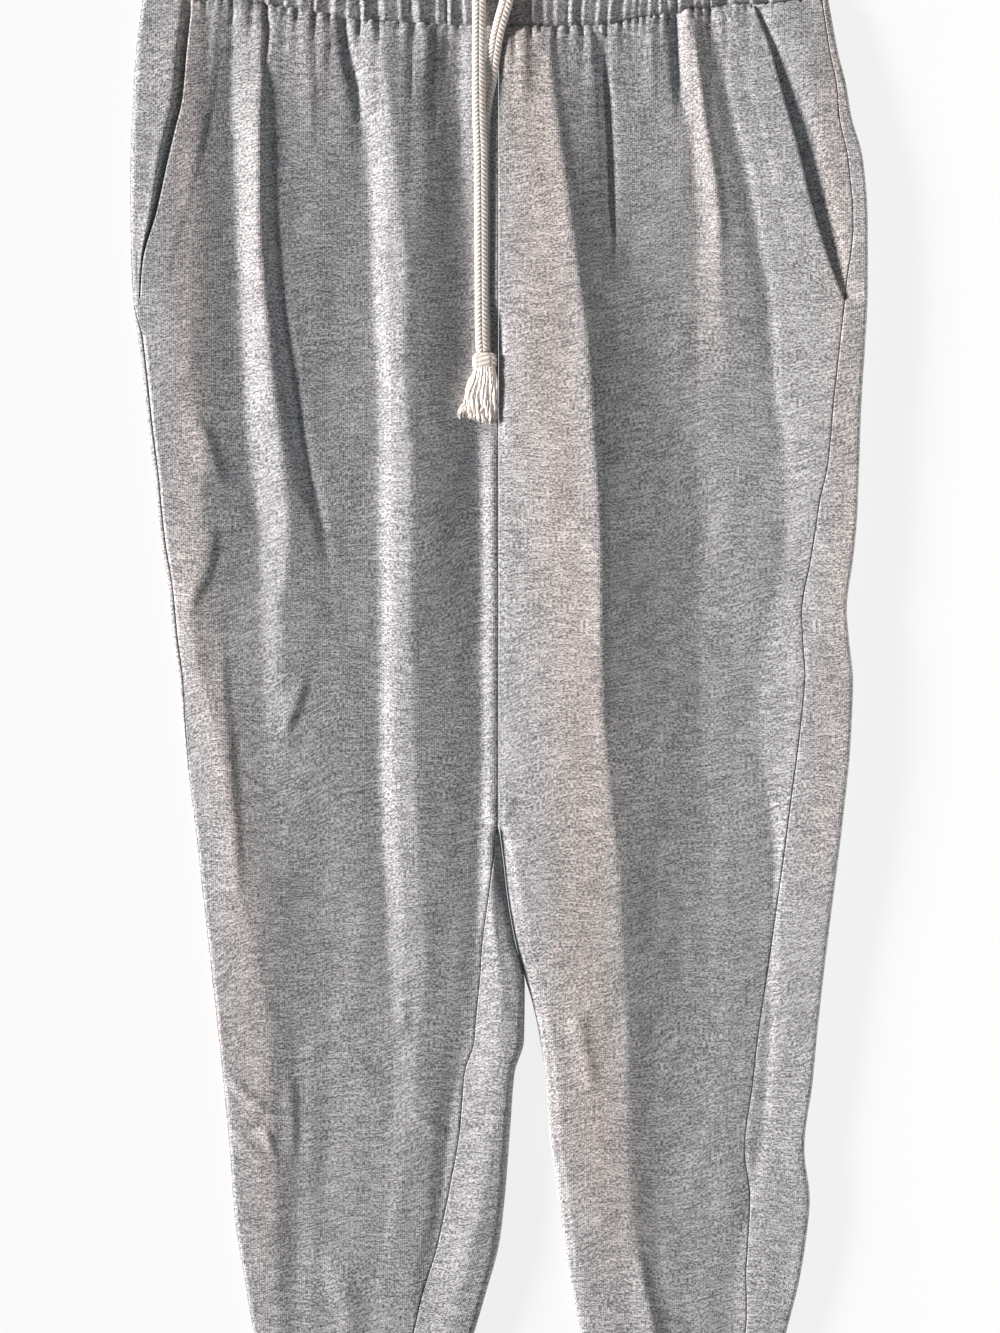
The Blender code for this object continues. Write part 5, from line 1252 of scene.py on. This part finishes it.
def braid_height(around, along, columns, pitch, slant=1.2):
    """Plump yarns in columns that lean left and right by turns, 0 to 1."""
    part = around * columns
    number = np.floor(part)
    u = part - number
    lean = np.where(number % 2 == 0, 1.0, -1.0)
    phase = along / pitch + lean * slant * (u - 0.5)
    yarn = np.abs(np.cos(math.pi * phase)) ** 0.7
    hump = np.sin(math.pi * u) ** 0.5
    return yarn * (0.25 + 0.75 * hump)


def build_drawcord(trim, side, material):
    """One braided drawcord; returns the object and its centreline."""
    line, along = smooth_route(CORD_ROUTES[side], 0.4 * MM)
    around = (np.arange(CORD_SIDES) / CORD_SIDES)[None, :]
    relief = braid_height(around, along[:, None], trim.braid_columns, trim.braid_pitch)
    width, thick = CORD_SIZE
    radii = (width / 2 - 0.5 + 0.5 * relief) * MM
    rings = swept(line, radii, CORD_SIDES, thick / width)
    rings[..., 2] += 0.75 * (relief - 0.5) * np.sin(2 * math.pi * around) * MM
    verts, polygons = tube_mesh(rings)
    uvs = np.stack(np.meshgrid(around[0] * 2.5 * width * MM, along), -1).reshape(-1, 2)
    # The braid relief is also painted into the colour as shade between the yarns.
    cord = cloth_object("drawcord_braid_" + side, verts, polygons, uvs, material, relief.ravel())
    return cord, line


def knot_rings(side):
    """The braid wrapped over the end of a cord, as rings from top to bottom and their relief, also
    used as painted shade.
    """
    across, down, high = KNOTS[side]
    width, length, thick = (size / 2 for size in KNOT_SIZE)
    count, sides = 45, 84
    rings, wraps = [], []
    for v in np.linspace(-1, 1, count):
        turn = np.linspace(0, 2 * math.pi, sides, endpoint=False)
        bulge = (1 - abs(v) ** 3.2) ** 0.42 if abs(v) < 1 else 0.0
        bulge = 0.35 + 0.65 * bulge if v < 0 else 0.5 + 0.5 * bulge
        wrap = braid_height((turn / (2 * math.pi)), v * length + 1.3, 6, 3.0, 0.9)
        wraps.append(wrap)
        swell = bulge * (0.9 + 0.14 * wrap)
        swell = swell * (1 - 0.05 * math.exp(-((v - 0.1) / 0.12) ** 2))
        x = width * swell * np.sign(np.cos(turn)) * np.abs(np.cos(turn)) ** 0.82
        z = thick * swell * np.sign(np.sin(turn)) * np.abs(np.sin(turn)) ** 0.82
        rings.append(np.stack((across + x, np.full(sides, down + length * v), high + z), -1))
    return world(None, np.stack(rings)), np.stack(wraps)


def yarn_line(side, number, total):
    """The middle line of one frayed yarn of a tassel, in metres."""
    _, spread, drift, drop, settle = TASSELS[side]
    across, down, high = KNOTS[side]
    width, length, thick = (size / 2 for size in KNOT_SIZE)
    golden = number * GOLDEN % 1.0
    u = 2 * (number + 0.5) / total - 1
    v = 2 * golden - 1
    v *= math.sqrt(max(0.0, 1 - 0.75 * u * u))
    uneven = 0.84 + 0.17 * math.sin(2.4 * number + 0.8) + 0.06 * math.sin(7.7 * number)
    reach = YARN_LENGTH * uneven
    t = np.linspace(0, 1, 26)
    flare = ease(t * 1.15) * (spread * 0.62 * u + drift * 0.6 + 1.3 * math.sin(5.3 * number))
    belly = 1.6 * np.sin(math.pi * np.clip(t * 1.2, 0, 1)) * u
    wave = 0.95 * np.sin(8.5 * t + 3.9 * number) * t + 0.45 * np.sin(22 * t + 1.7 * number) * t
    x = across + 0.76 * width * u + flare + belly + wave
    y = down + length - 1.4 + reach * t
    z = high + 0.62 * thick * v - settle * (v + 1) * t - drop * t ** 1.5
    z = z + 0.5 * np.sin(8.0 * t + 2.2 * number) * t
    if number % 11 == 3:
        x = x - 5.5 * ease((t - 0.6) / 0.4) * (1.2 - 0.2 * u)
    return world(None, np.stack((x, y, z), -1))


def build_tassel(side, material):
    """Knot with the cord's yarns frayed out below it."""
    total = TASSELS[side][0]
    knot, relief = knot_rings(side)
    tubes, painted_light_values = [knot], [relief]
    for number in range(total):
        line = yarn_line(side, number, total)
        t = np.linspace(0, 1, len(line))
        turn = np.linspace(0, 2 * math.pi, 7, endpoint=False)
        ply = 0.74 + 0.11 * np.cos(2 * (turn[None, :] + 26 * t[:, None] + number))
        taper = np.clip((1 - t) / 0.12, 0.35, 1)[:, None] * (0.9 + 0.25 * math.sin(3.3 * number))
        fray = 1 + 0.18 * np.sin(31 * t + number)[:, None] * t[:, None]
        tubes.append(swept(line, ply * taper * fray * MM, 7))
        # Painted light: the frayed yarns are painted lighter than the cord, against the shade among
        # them.
        painted_light_values.append(1.35 + 0.2 * math.sin(4.4 * number))
    return joined_tubes("tassel_yarns_" + side, tubes, material, painted_light_values)


# ---------------------------------------------------------------- finishes

class Nodes:
    """Short way to add and link the nodes of one tree."""

    def __init__(self, tree):
        self.tree = tree
        self.count = 0

    def add(self, kind, settings=None, **inputs):
        """Add a node; inputs are values or sockets, by socket name with _ for a space."""
        node = self.tree.nodes.new(kind)
        node.location = (180 * (self.count % 9), -220 * (self.count // 9))
        self.count += 1
        for key, value in (settings or {}).items():
            setattr(node, key, value)
        for key, value in inputs.items():
            socket = node.inputs[int(key[1:])] if key[0] == "i" and key[1:].isdigit() \
                else node.inputs[key.replace("_", " ")]
            if isinstance(value, bpy.types.NodeSocket):
                self.tree.links.new(value, socket)
            else:
                socket.default_value = value
        return node

    def math(self, operation, a, b=0.0, clamp=False):
        """A Math node's result."""
        settings = {"operation": operation, "use_clamp": clamp}
        return self.add("ShaderNodeMath", settings, i0=a, i1=b).outputs[0]

    def scaled(self, value, middle, factor):
        """How far a value lies above a middle, times a factor."""
        return self.math('MULTIPLY', self.math('SUBTRACT', value, middle), factor)

    def vector(self, operation, a, b, **more):
        """A Vector Math node's result."""
        settings = {"operation": operation}
        return self.add("ShaderNodeVectorMath", settings, i0=a, i1=b, **more).outputs[0]

    def all_three(self, value):
        """One value as all three parts of a vector."""
        return self.add("ShaderNodeCombineXYZ", X=value, Y=value, Z=value).outputs[0]

    def noise(self, place, scale, detail, roughness):
        """A two-dimensional noise with a scale across and one down."""
        stretched = self.vector('MULTIPLY', place, (*scale, 0.0))
        return self.add("ShaderNodeTexNoise", {"noise_dimensions": '2D'}, Vector=stretched,
                        Scale=1.0, Detail=detail, Roughness=roughness).outputs


def effect(name, inputs, outputs):
    """An empty node group with named sockets; inputs hold (name, kind, default)."""
    tree = bpy.data.node_groups.new(name, 'ShaderNodeTree')
    for label, kind, default in inputs:
        socket = tree.interface.new_socket(label, in_out='INPUT', socket_type=kind)
        if default is not None:
            socket.default_value = default
    for label, kind in outputs:
        tree.interface.new_socket(label, in_out='OUTPUT', socket_type=kind)
    nodes = Nodes(tree)
    return tree, nodes, nodes.add("NodeGroupInput").outputs, nodes.add("NodeGroupOutput").inputs


def heather_group():
    """Heather jersey: fine specks, short light fibres across, wales down the cloth and painted warm
    light.
    """
    tree, nodes, given, result = effect(
        "heather_yarn",
        (("Place", 'NodeSocketVector', None),
         ("Dark Yarn", 'NodeSocketColor', (0.12, 0.12, 0.13, 1)),
         ("Light Yarn", 'NodeSocketColor', (0.5, 0.5, 0.5, 1)),
         ("Contrast", 'NodeSocketFloat', 1.0), ("Dye", 'NodeSocketFloat', 0.0)),
        (("Colour", 'NodeSocketColor'), ("Nap", 'NodeSocketFloat')))
    place = nodes.vector('MULTIPLY', given["Place"], (1000.0, 1000.0, 0.0))
    split = nodes.add("ShaderNodeSeparateXYZ", Vector=place)
    sway = nodes.noise(place, (0.012, 0.008), 1.0, 0.5)
    lean = nodes.math('SUBTRACT', nodes.math('MULTIPLY', sway["Fac"], 34.0),
                      nodes.math('MULTIPLY', split.outputs[0], 0.15))
    leaning = nodes.add("ShaderNodeCombineXYZ", X=split.outputs[0],
                        Y=nodes.math('ADD', split.outputs[1], lean)).outputs[0]
    grain = nodes.noise(leaning, (0.55, 0.95), 4.0, 0.85)
    streak = nodes.noise(leaning, (0.12, 1.0), 2.0, 0.6)
    shade = nodes.noise(leaning, (0.06, 0.4), 2.0, 0.5)
    mottle = nodes.noise(place, (0.06, 0.05), 2.0, 0.5)
    specks = nodes.scaled(grain["Fac"], 0.5, 4.4)
    pale = nodes.math('MAXIMUM', nodes.math('SUBTRACT', streak["Fac"], 0.53), 0.0)
    fibres = nodes.math('MULTIPLY', pale, 2.2)
    bands = nodes.scaled(shade["Fac"], 0.5, 0.7)
    clouds = nodes.scaled(mottle["Fac"], 0.5, 0.3)
    total = nodes.math('ADD', nodes.math('ADD', specks, fibres), nodes.math('ADD', bands, clouds))
    blend = nodes.math('ADD', nodes.math('MULTIPLY', total, given["Contrast"]), 0.375, clamp=True)
    mixed = nodes.add("ShaderNodeMix", {"data_type": 'RGBA'}, Factor=blend)
    for socket, source in ((6, "Dark Yarn"), (7, "Light Yarn")):
        tree.links.new(given[source], mixed.inputs[socket])
    tints = nodes.noise(place, (0.5, 0.75), 1.0, 0.5)
    hue = nodes.vector('MULTIPLY_ADD', tints["Color"], (0.22, 0.16, 0.28), i2=(0.89, 0.92, 0.86))
    # Painted warm light: the value a vertex makes the colour redder and less blue.
    dye = nodes.all_three(given["Dye"])
    warm = nodes.vector('MULTIPLY_ADD', dye, (0.11, 0.0, -0.07), i2=(1.0, 1.0, 1.0))
    coloured = nodes.vector('MULTIPLY', nodes.vector('MULTIPLY', mixed.outputs[2], hue), warm)
    wales = nodes.math('SINE', nodes.math('MULTIPLY', split.outputs[0], 2 * math.pi / 1.35))
    nap = nodes.math('ADD', nodes.math('MULTIPLY', wales, 0.12),
                     nodes.math('MULTIPLY', grain["Fac"], 0.9))
    tree.links.new(coloured, result["Colour"])
    tree.links.new(nap, result["Nap"])
    return tree


def cotton_group():
    """Cotton yarn: fine fibres along the yarn, slightly unevenly dyed, and painted shade between
    the yarns.
    """
    tree, nodes, given, result = effect(
        "cotton_yarn",
        (("Place", 'NodeSocketVector', None),
         ("Cotton", 'NodeSocketColor', (0.5, 0.45, 0.4, 1)),
         ("Dye", 'NodeSocketFloat', 1.0)),
        (("Colour", 'NodeSocketColor'), ("Fibre", 'NodeSocketFloat')))
    place = nodes.vector('MULTIPLY', given["Place"], (1000.0, 1000.0, 0.0))
    fibre = nodes.noise(place, (2.6, 1.1), 2.0, 0.6)
    dye = nodes.noise(place, (0.35, 0.12), 1.0, 0.5)
    tone = nodes.math('ADD', nodes.math('MULTIPLY', fibre["Fac"], 0.5),
                      nodes.math('MULTIPLY', dye["Fac"], 0.3))
    # Painted shade: darker where the braid relief sinks between yarns, lighter on the tassel yarns.
    painted_light_factor = nodes.math('ADD', nodes.math('MULTIPLY', given["Dye"], 0.6), 0.52)
    tone = nodes.math('MULTIPLY', nodes.math('ADD', tone, 0.6), painted_light_factor)
    toned = nodes.vector('MULTIPLY', given["Cotton"], nodes.all_three(tone))
    tree.links.new(toned, result["Colour"])
    tree.links.new(fibre["Fac"], result["Fibre"])
    return tree


def set_inputs(node, **values):
    """Set a node's own sockets, by name with _ for a space."""
    for name, value in values.items():
        node.inputs[name.replace("_", " ")].default_value = value


def cloth_material(name, group, values, colour, height, bump, distance, roughness, sheen):
    """A soft cloth finish driven by one of the groups."""
    material = bpy.data.materials.new(name)
    material.use_nodes = True
    nodes = Nodes(material.node_tree)
    shader = material.node_tree.nodes["Principled BSDF"]
    where = nodes.add("ShaderNodeUVMap", {"uv_map": "cloth"}).outputs[0]
    # Painted light and shade a vertex: warm light on the cloth, shade between the yarns of the
    # cords.
    dye = nodes.add("ShaderNodeAttribute", {"attribute_name": "dye"}).outputs["Fac"]
    yarn = nodes.add("ShaderNodeGroup", {"node_tree": group}, Place=where, Dye=dye, **values)
    relief = nodes.add("ShaderNodeBump", Strength=bump, Distance=distance,
                       Height=yarn.outputs[height])
    links = material.node_tree.links
    links.new(yarn.outputs[colour], shader.inputs["Base Color"])
    links.new(relief.outputs[0], shader.inputs["Normal"])
    set_inputs(shader, Roughness=roughness, Sheen_Weight=sheen, Sheen_Roughness=0.5,
               Specular_IOR_Level=0.2)
    return material


def finish(name):
    """The finish of that name, made on first use."""
    made = bpy.data.materials.get(name)
    if made:
        return made
    cloth, trim = bpy.context.scene.jogger_cloth, bpy.context.scene.jogger_trim
    groups = bpy.data.node_groups
    heather = groups.get("heather_yarn") or heather_group()
    cotton = groups.get("cotton_yarn") or cotton_group()
    yarns = {"Dark_Yarn": (*cloth.dark_yarn, 1), "Light_Yarn": (*cloth.light_yarn, 1),
             "Contrast": cloth.contrast}
    if name == "fleece_face":
        return cloth_material(name, heather, yarns, "Colour", "Nap", 0.55, 0.35 * MM, 0.95, 0.12)
    if name == "rib_face":
        return cloth_material(name, heather, yarns, "Colour", "Nap", 0.7, 0.4 * MM, 0.95, 0.12)
    yarns = {"Cotton": (*trim.braid_colour, 1)}
    return cloth_material(name, cotton, yarns, "Colour", "Fibre", 0.6, 0.3 * MM, 0.9, 0.15)


# ---------------------------------------------------------------- operators

def add_camera(stage):
    """The camera straight above the garment."""
    camera = add_object("camera", bpy.data.cameras.new("camera"))
    camera.data.lens, camera.data.sensor_width = stage.lens, SENSOR
    above = stage.frame_length / 2 / (SENSOR / 2 / stage.lens)
    camera.location = (0.96 * MM, 26.3 * MM, above + 8 * MM)
    bpy.context.scene.camera = camera


def add_floor(stage):
    """The pale surface under the garment."""
    mesh = bpy.data.meshes.new("floor")
    corners = ((-1, -1), (1, -1), (1, 1), (-1, 1))
    mesh.from_pydata([(x * FLOOR_REACH, y * FLOOR_REACH, FLOOR_HIGH) for x, y in corners],
                     [], [(0, 1, 2, 3)])
    paper = bpy.data.materials.new("pale_floor")
    paper.use_nodes = True
    set_inputs(paper.node_tree.nodes["Principled BSDF"], Base_Color=(*stage.floor_colour, 1),
               Roughness=0.9, Specular_IOR_Level=0.1, Emission_Color=(1, 1, 1, 1),
               Emission_Strength=stage.floor_glow)
    mesh.materials.append(paper)
    add_object("floor", mesh)


def add_lights(stage):
    """The low key light, the card at the wearer's left and the light from all round."""
    key = bpy.data.lights.new("key", 'SUN')
    key.energy, key.angle, key.color = stage.key_strength, stage.key_size, stage.key_colour
    lamp = add_object("key", key)
    aim = Vector((math.cos(stage.key_height), -0.12, -math.sin(stage.key_height)))
    lamp.rotation_mode = 'QUATERNION'
    lamp.rotation_quaternion = aim.to_track_quat('-Z', 'Y')
    card = bpy.data.lights.new("side_card", 'AREA')
    card.shape, (card.size, card.size_y) = 'RECTANGLE', CARD_SIZE
    card.energy, card.color = stage.card_power, stage.card_colour
    lamp = add_object("side_card", card)
    lamp.location = CARD_PLACE
    lamp.rotation_euler = (0, math.pi / 2, 0)
    lamp.visible_camera = False
    fill = bpy.data.worlds.new("fill")
    fill.use_nodes = True
    set_inputs(fill.node_tree.nodes["Background"], Color=(*stage.fill_colour, 1),
               Strength=stage.fill_strength)
    bpy.context.scene.world = fill


class JOGGER_OT_stage(Operator):
    """Camera straight above the garment, pale floor, low key light and soft fill"""
    bl_idname = "jogger.stage"
    bl_label = "Stage and Light"

    def execute(self, context):
        stage = context.scene.jogger_stage
        for add in (add_camera, add_floor, add_lights):
            add(stage)
        context.scene.view_settings.view_transform = 'Standard'
        return {'FINISHED'}


class JOGGER_OT_drawcords(Operator):
    """Two braided drawcords with their knots and tassels"""
    bl_idname = "jogger.drawcords"
    bl_label = "Drawcords"

    def execute(self, context):
        trim = context.scene.jogger_trim
        for side in SIDES:
            cord, line = build_drawcord(trim, side, finish("cotton_plait"))
            dress(cord, "drawcord_" + side)
            tassel = build_tassel(side, finish("cotton_plait"))
            dress(tassel, "tassel_" + side)
        return {'FINISHED'}


class JOGGER_OT_fronts(Operator):
    """The two front panels with their folds, creases and gathers"""
    bl_idname = "jogger.fronts"
    bl_label = "Front Panels"

    def execute(self, context):
        cloth = context.scene.jogger_cloth
        columns = round(FRONT_WIDTH / (cloth.column_step / MM))
        for side in SIDES:
            faces = panel_faces(cloth, side, row_stations(cloth),
                                lambda row: front_row(row, columns))
            front = shell("front_cloth_" + side, faces, finish("fleece_face"), side)
            dress(front, "front_" + side)
        return {'FINISHED'}


class JOGGER_OT_backs(Operator):
    """The two back panels, which wrap forward round the outer edge"""
    bl_idname = "jogger.backs"
    bl_label = "Back Panels"

    def execute(self, context):
        cloth = context.scene.jogger_cloth
        for side in SIDES:
            faces = panel_faces(cloth, side, row_stations(cloth),
                                lambda row: back_row(row, BACK_COLUMNS))
            back = shell("back_cloth_" + side, faces, finish("fleece_face"), side)
            dress(back, "back_" + side)
        return {'FINISHED'}


class JOGGER_OT_facings(Operator):
    """The cloth in the mouths of the slant pockets"""
    bl_idname = "jogger.facings"
    bl_label = "Pocket Facings"

    def execute(self, context):
        cloth = context.scene.jogger_cloth
        stations = [down for down in row_stations(cloth) if down < POCKET_END - 2]
        stations.append(POCKET_END - 0.4)
        for side in SIDES:
            faces = panel_faces(cloth, side, stations, facing_row)
            facing = shell("facing_cloth_" + side, faces, finish("fleece_face"), side)
            dress(facing, "pocket_facing_" + side)
        return {'FINISHED'}


class JOGGER_OT_waistband(Operator):
    """Gathered waistband with two bound buttonholes"""
    bl_idname = "jogger.waistband"
    bl_label = "Waistband"

    def execute(self, context):
        band = build_waistband(context.scene.jogger_trim, finish("rib_face"))
        dress(band, "waistband")
        for side, across in BUTTONHOLES.items():
            edge = build_buttonhole_edge(side, across, finish("rib_face"))
            dress(edge, None)
        return {'FINISHED'}


class JOGGER_OT_cuffs(Operator):
    """The two elastic rib cuffs"""
    bl_idname = "jogger.cuffs"
    bl_label = "Cuffs"

    def execute(self, context):
        for side in SIDES:
            cuff = build_cuff(context.scene.jogger_trim, side, finish("rib_face"))
            dress(cuff, "cuff_" + side)
        return {'FINISHED'}


STEPS = (
    JOGGER_OT_stage, JOGGER_OT_drawcords, JOGGER_OT_fronts, JOGGER_OT_backs,
    JOGGER_OT_facings, JOGGER_OT_waistband, JOGGER_OT_cuffs,
)


class JOGGER_PT_panel(Panel):
    """The steps that make the garment, and its settings"""
    bl_idname = "JOGGER_PT_panel"
    bl_label = "Jogger Sweatpants"
    bl_space_type = 'VIEW_3D'
    bl_region_type = 'UI'
    bl_category = "Joggers"

    def draw(self, context):
        for step in STEPS:
            self.layout.operator(step.bl_idname)
        for group in SETTINGS:
            settings, box = getattr(context.scene, group), self.layout.box()
            for name in settings.__annotations__:
                box.prop(settings, name)


SETTINGS = {"jogger_cloth": ClothSettings, "jogger_trim": TrimSettings,
            "jogger_stage": StageSettings}


def register():
    for kind in (*SETTINGS.values(), *STEPS, JOGGER_PT_panel):
        bpy.utils.register_class(kind)
    for name, kind in SETTINGS.items():
        setattr(bpy.types.Scene, name, PointerProperty(type=kind))


def unregister():
    for name in SETTINGS:
        delattr(bpy.types.Scene, name)
    for kind in reversed((*SETTINGS.values(), *STEPS, JOGGER_PT_panel)):
        bpy.utils.unregister_class(kind)


def main():
    """Register the add-on and build the garment."""
    register()
    for step in STEPS:
        group, name = step.bl_idname.split(".")
        getattr(getattr(bpy.ops, group), name)()


if __name__ == "__main__":
    main()
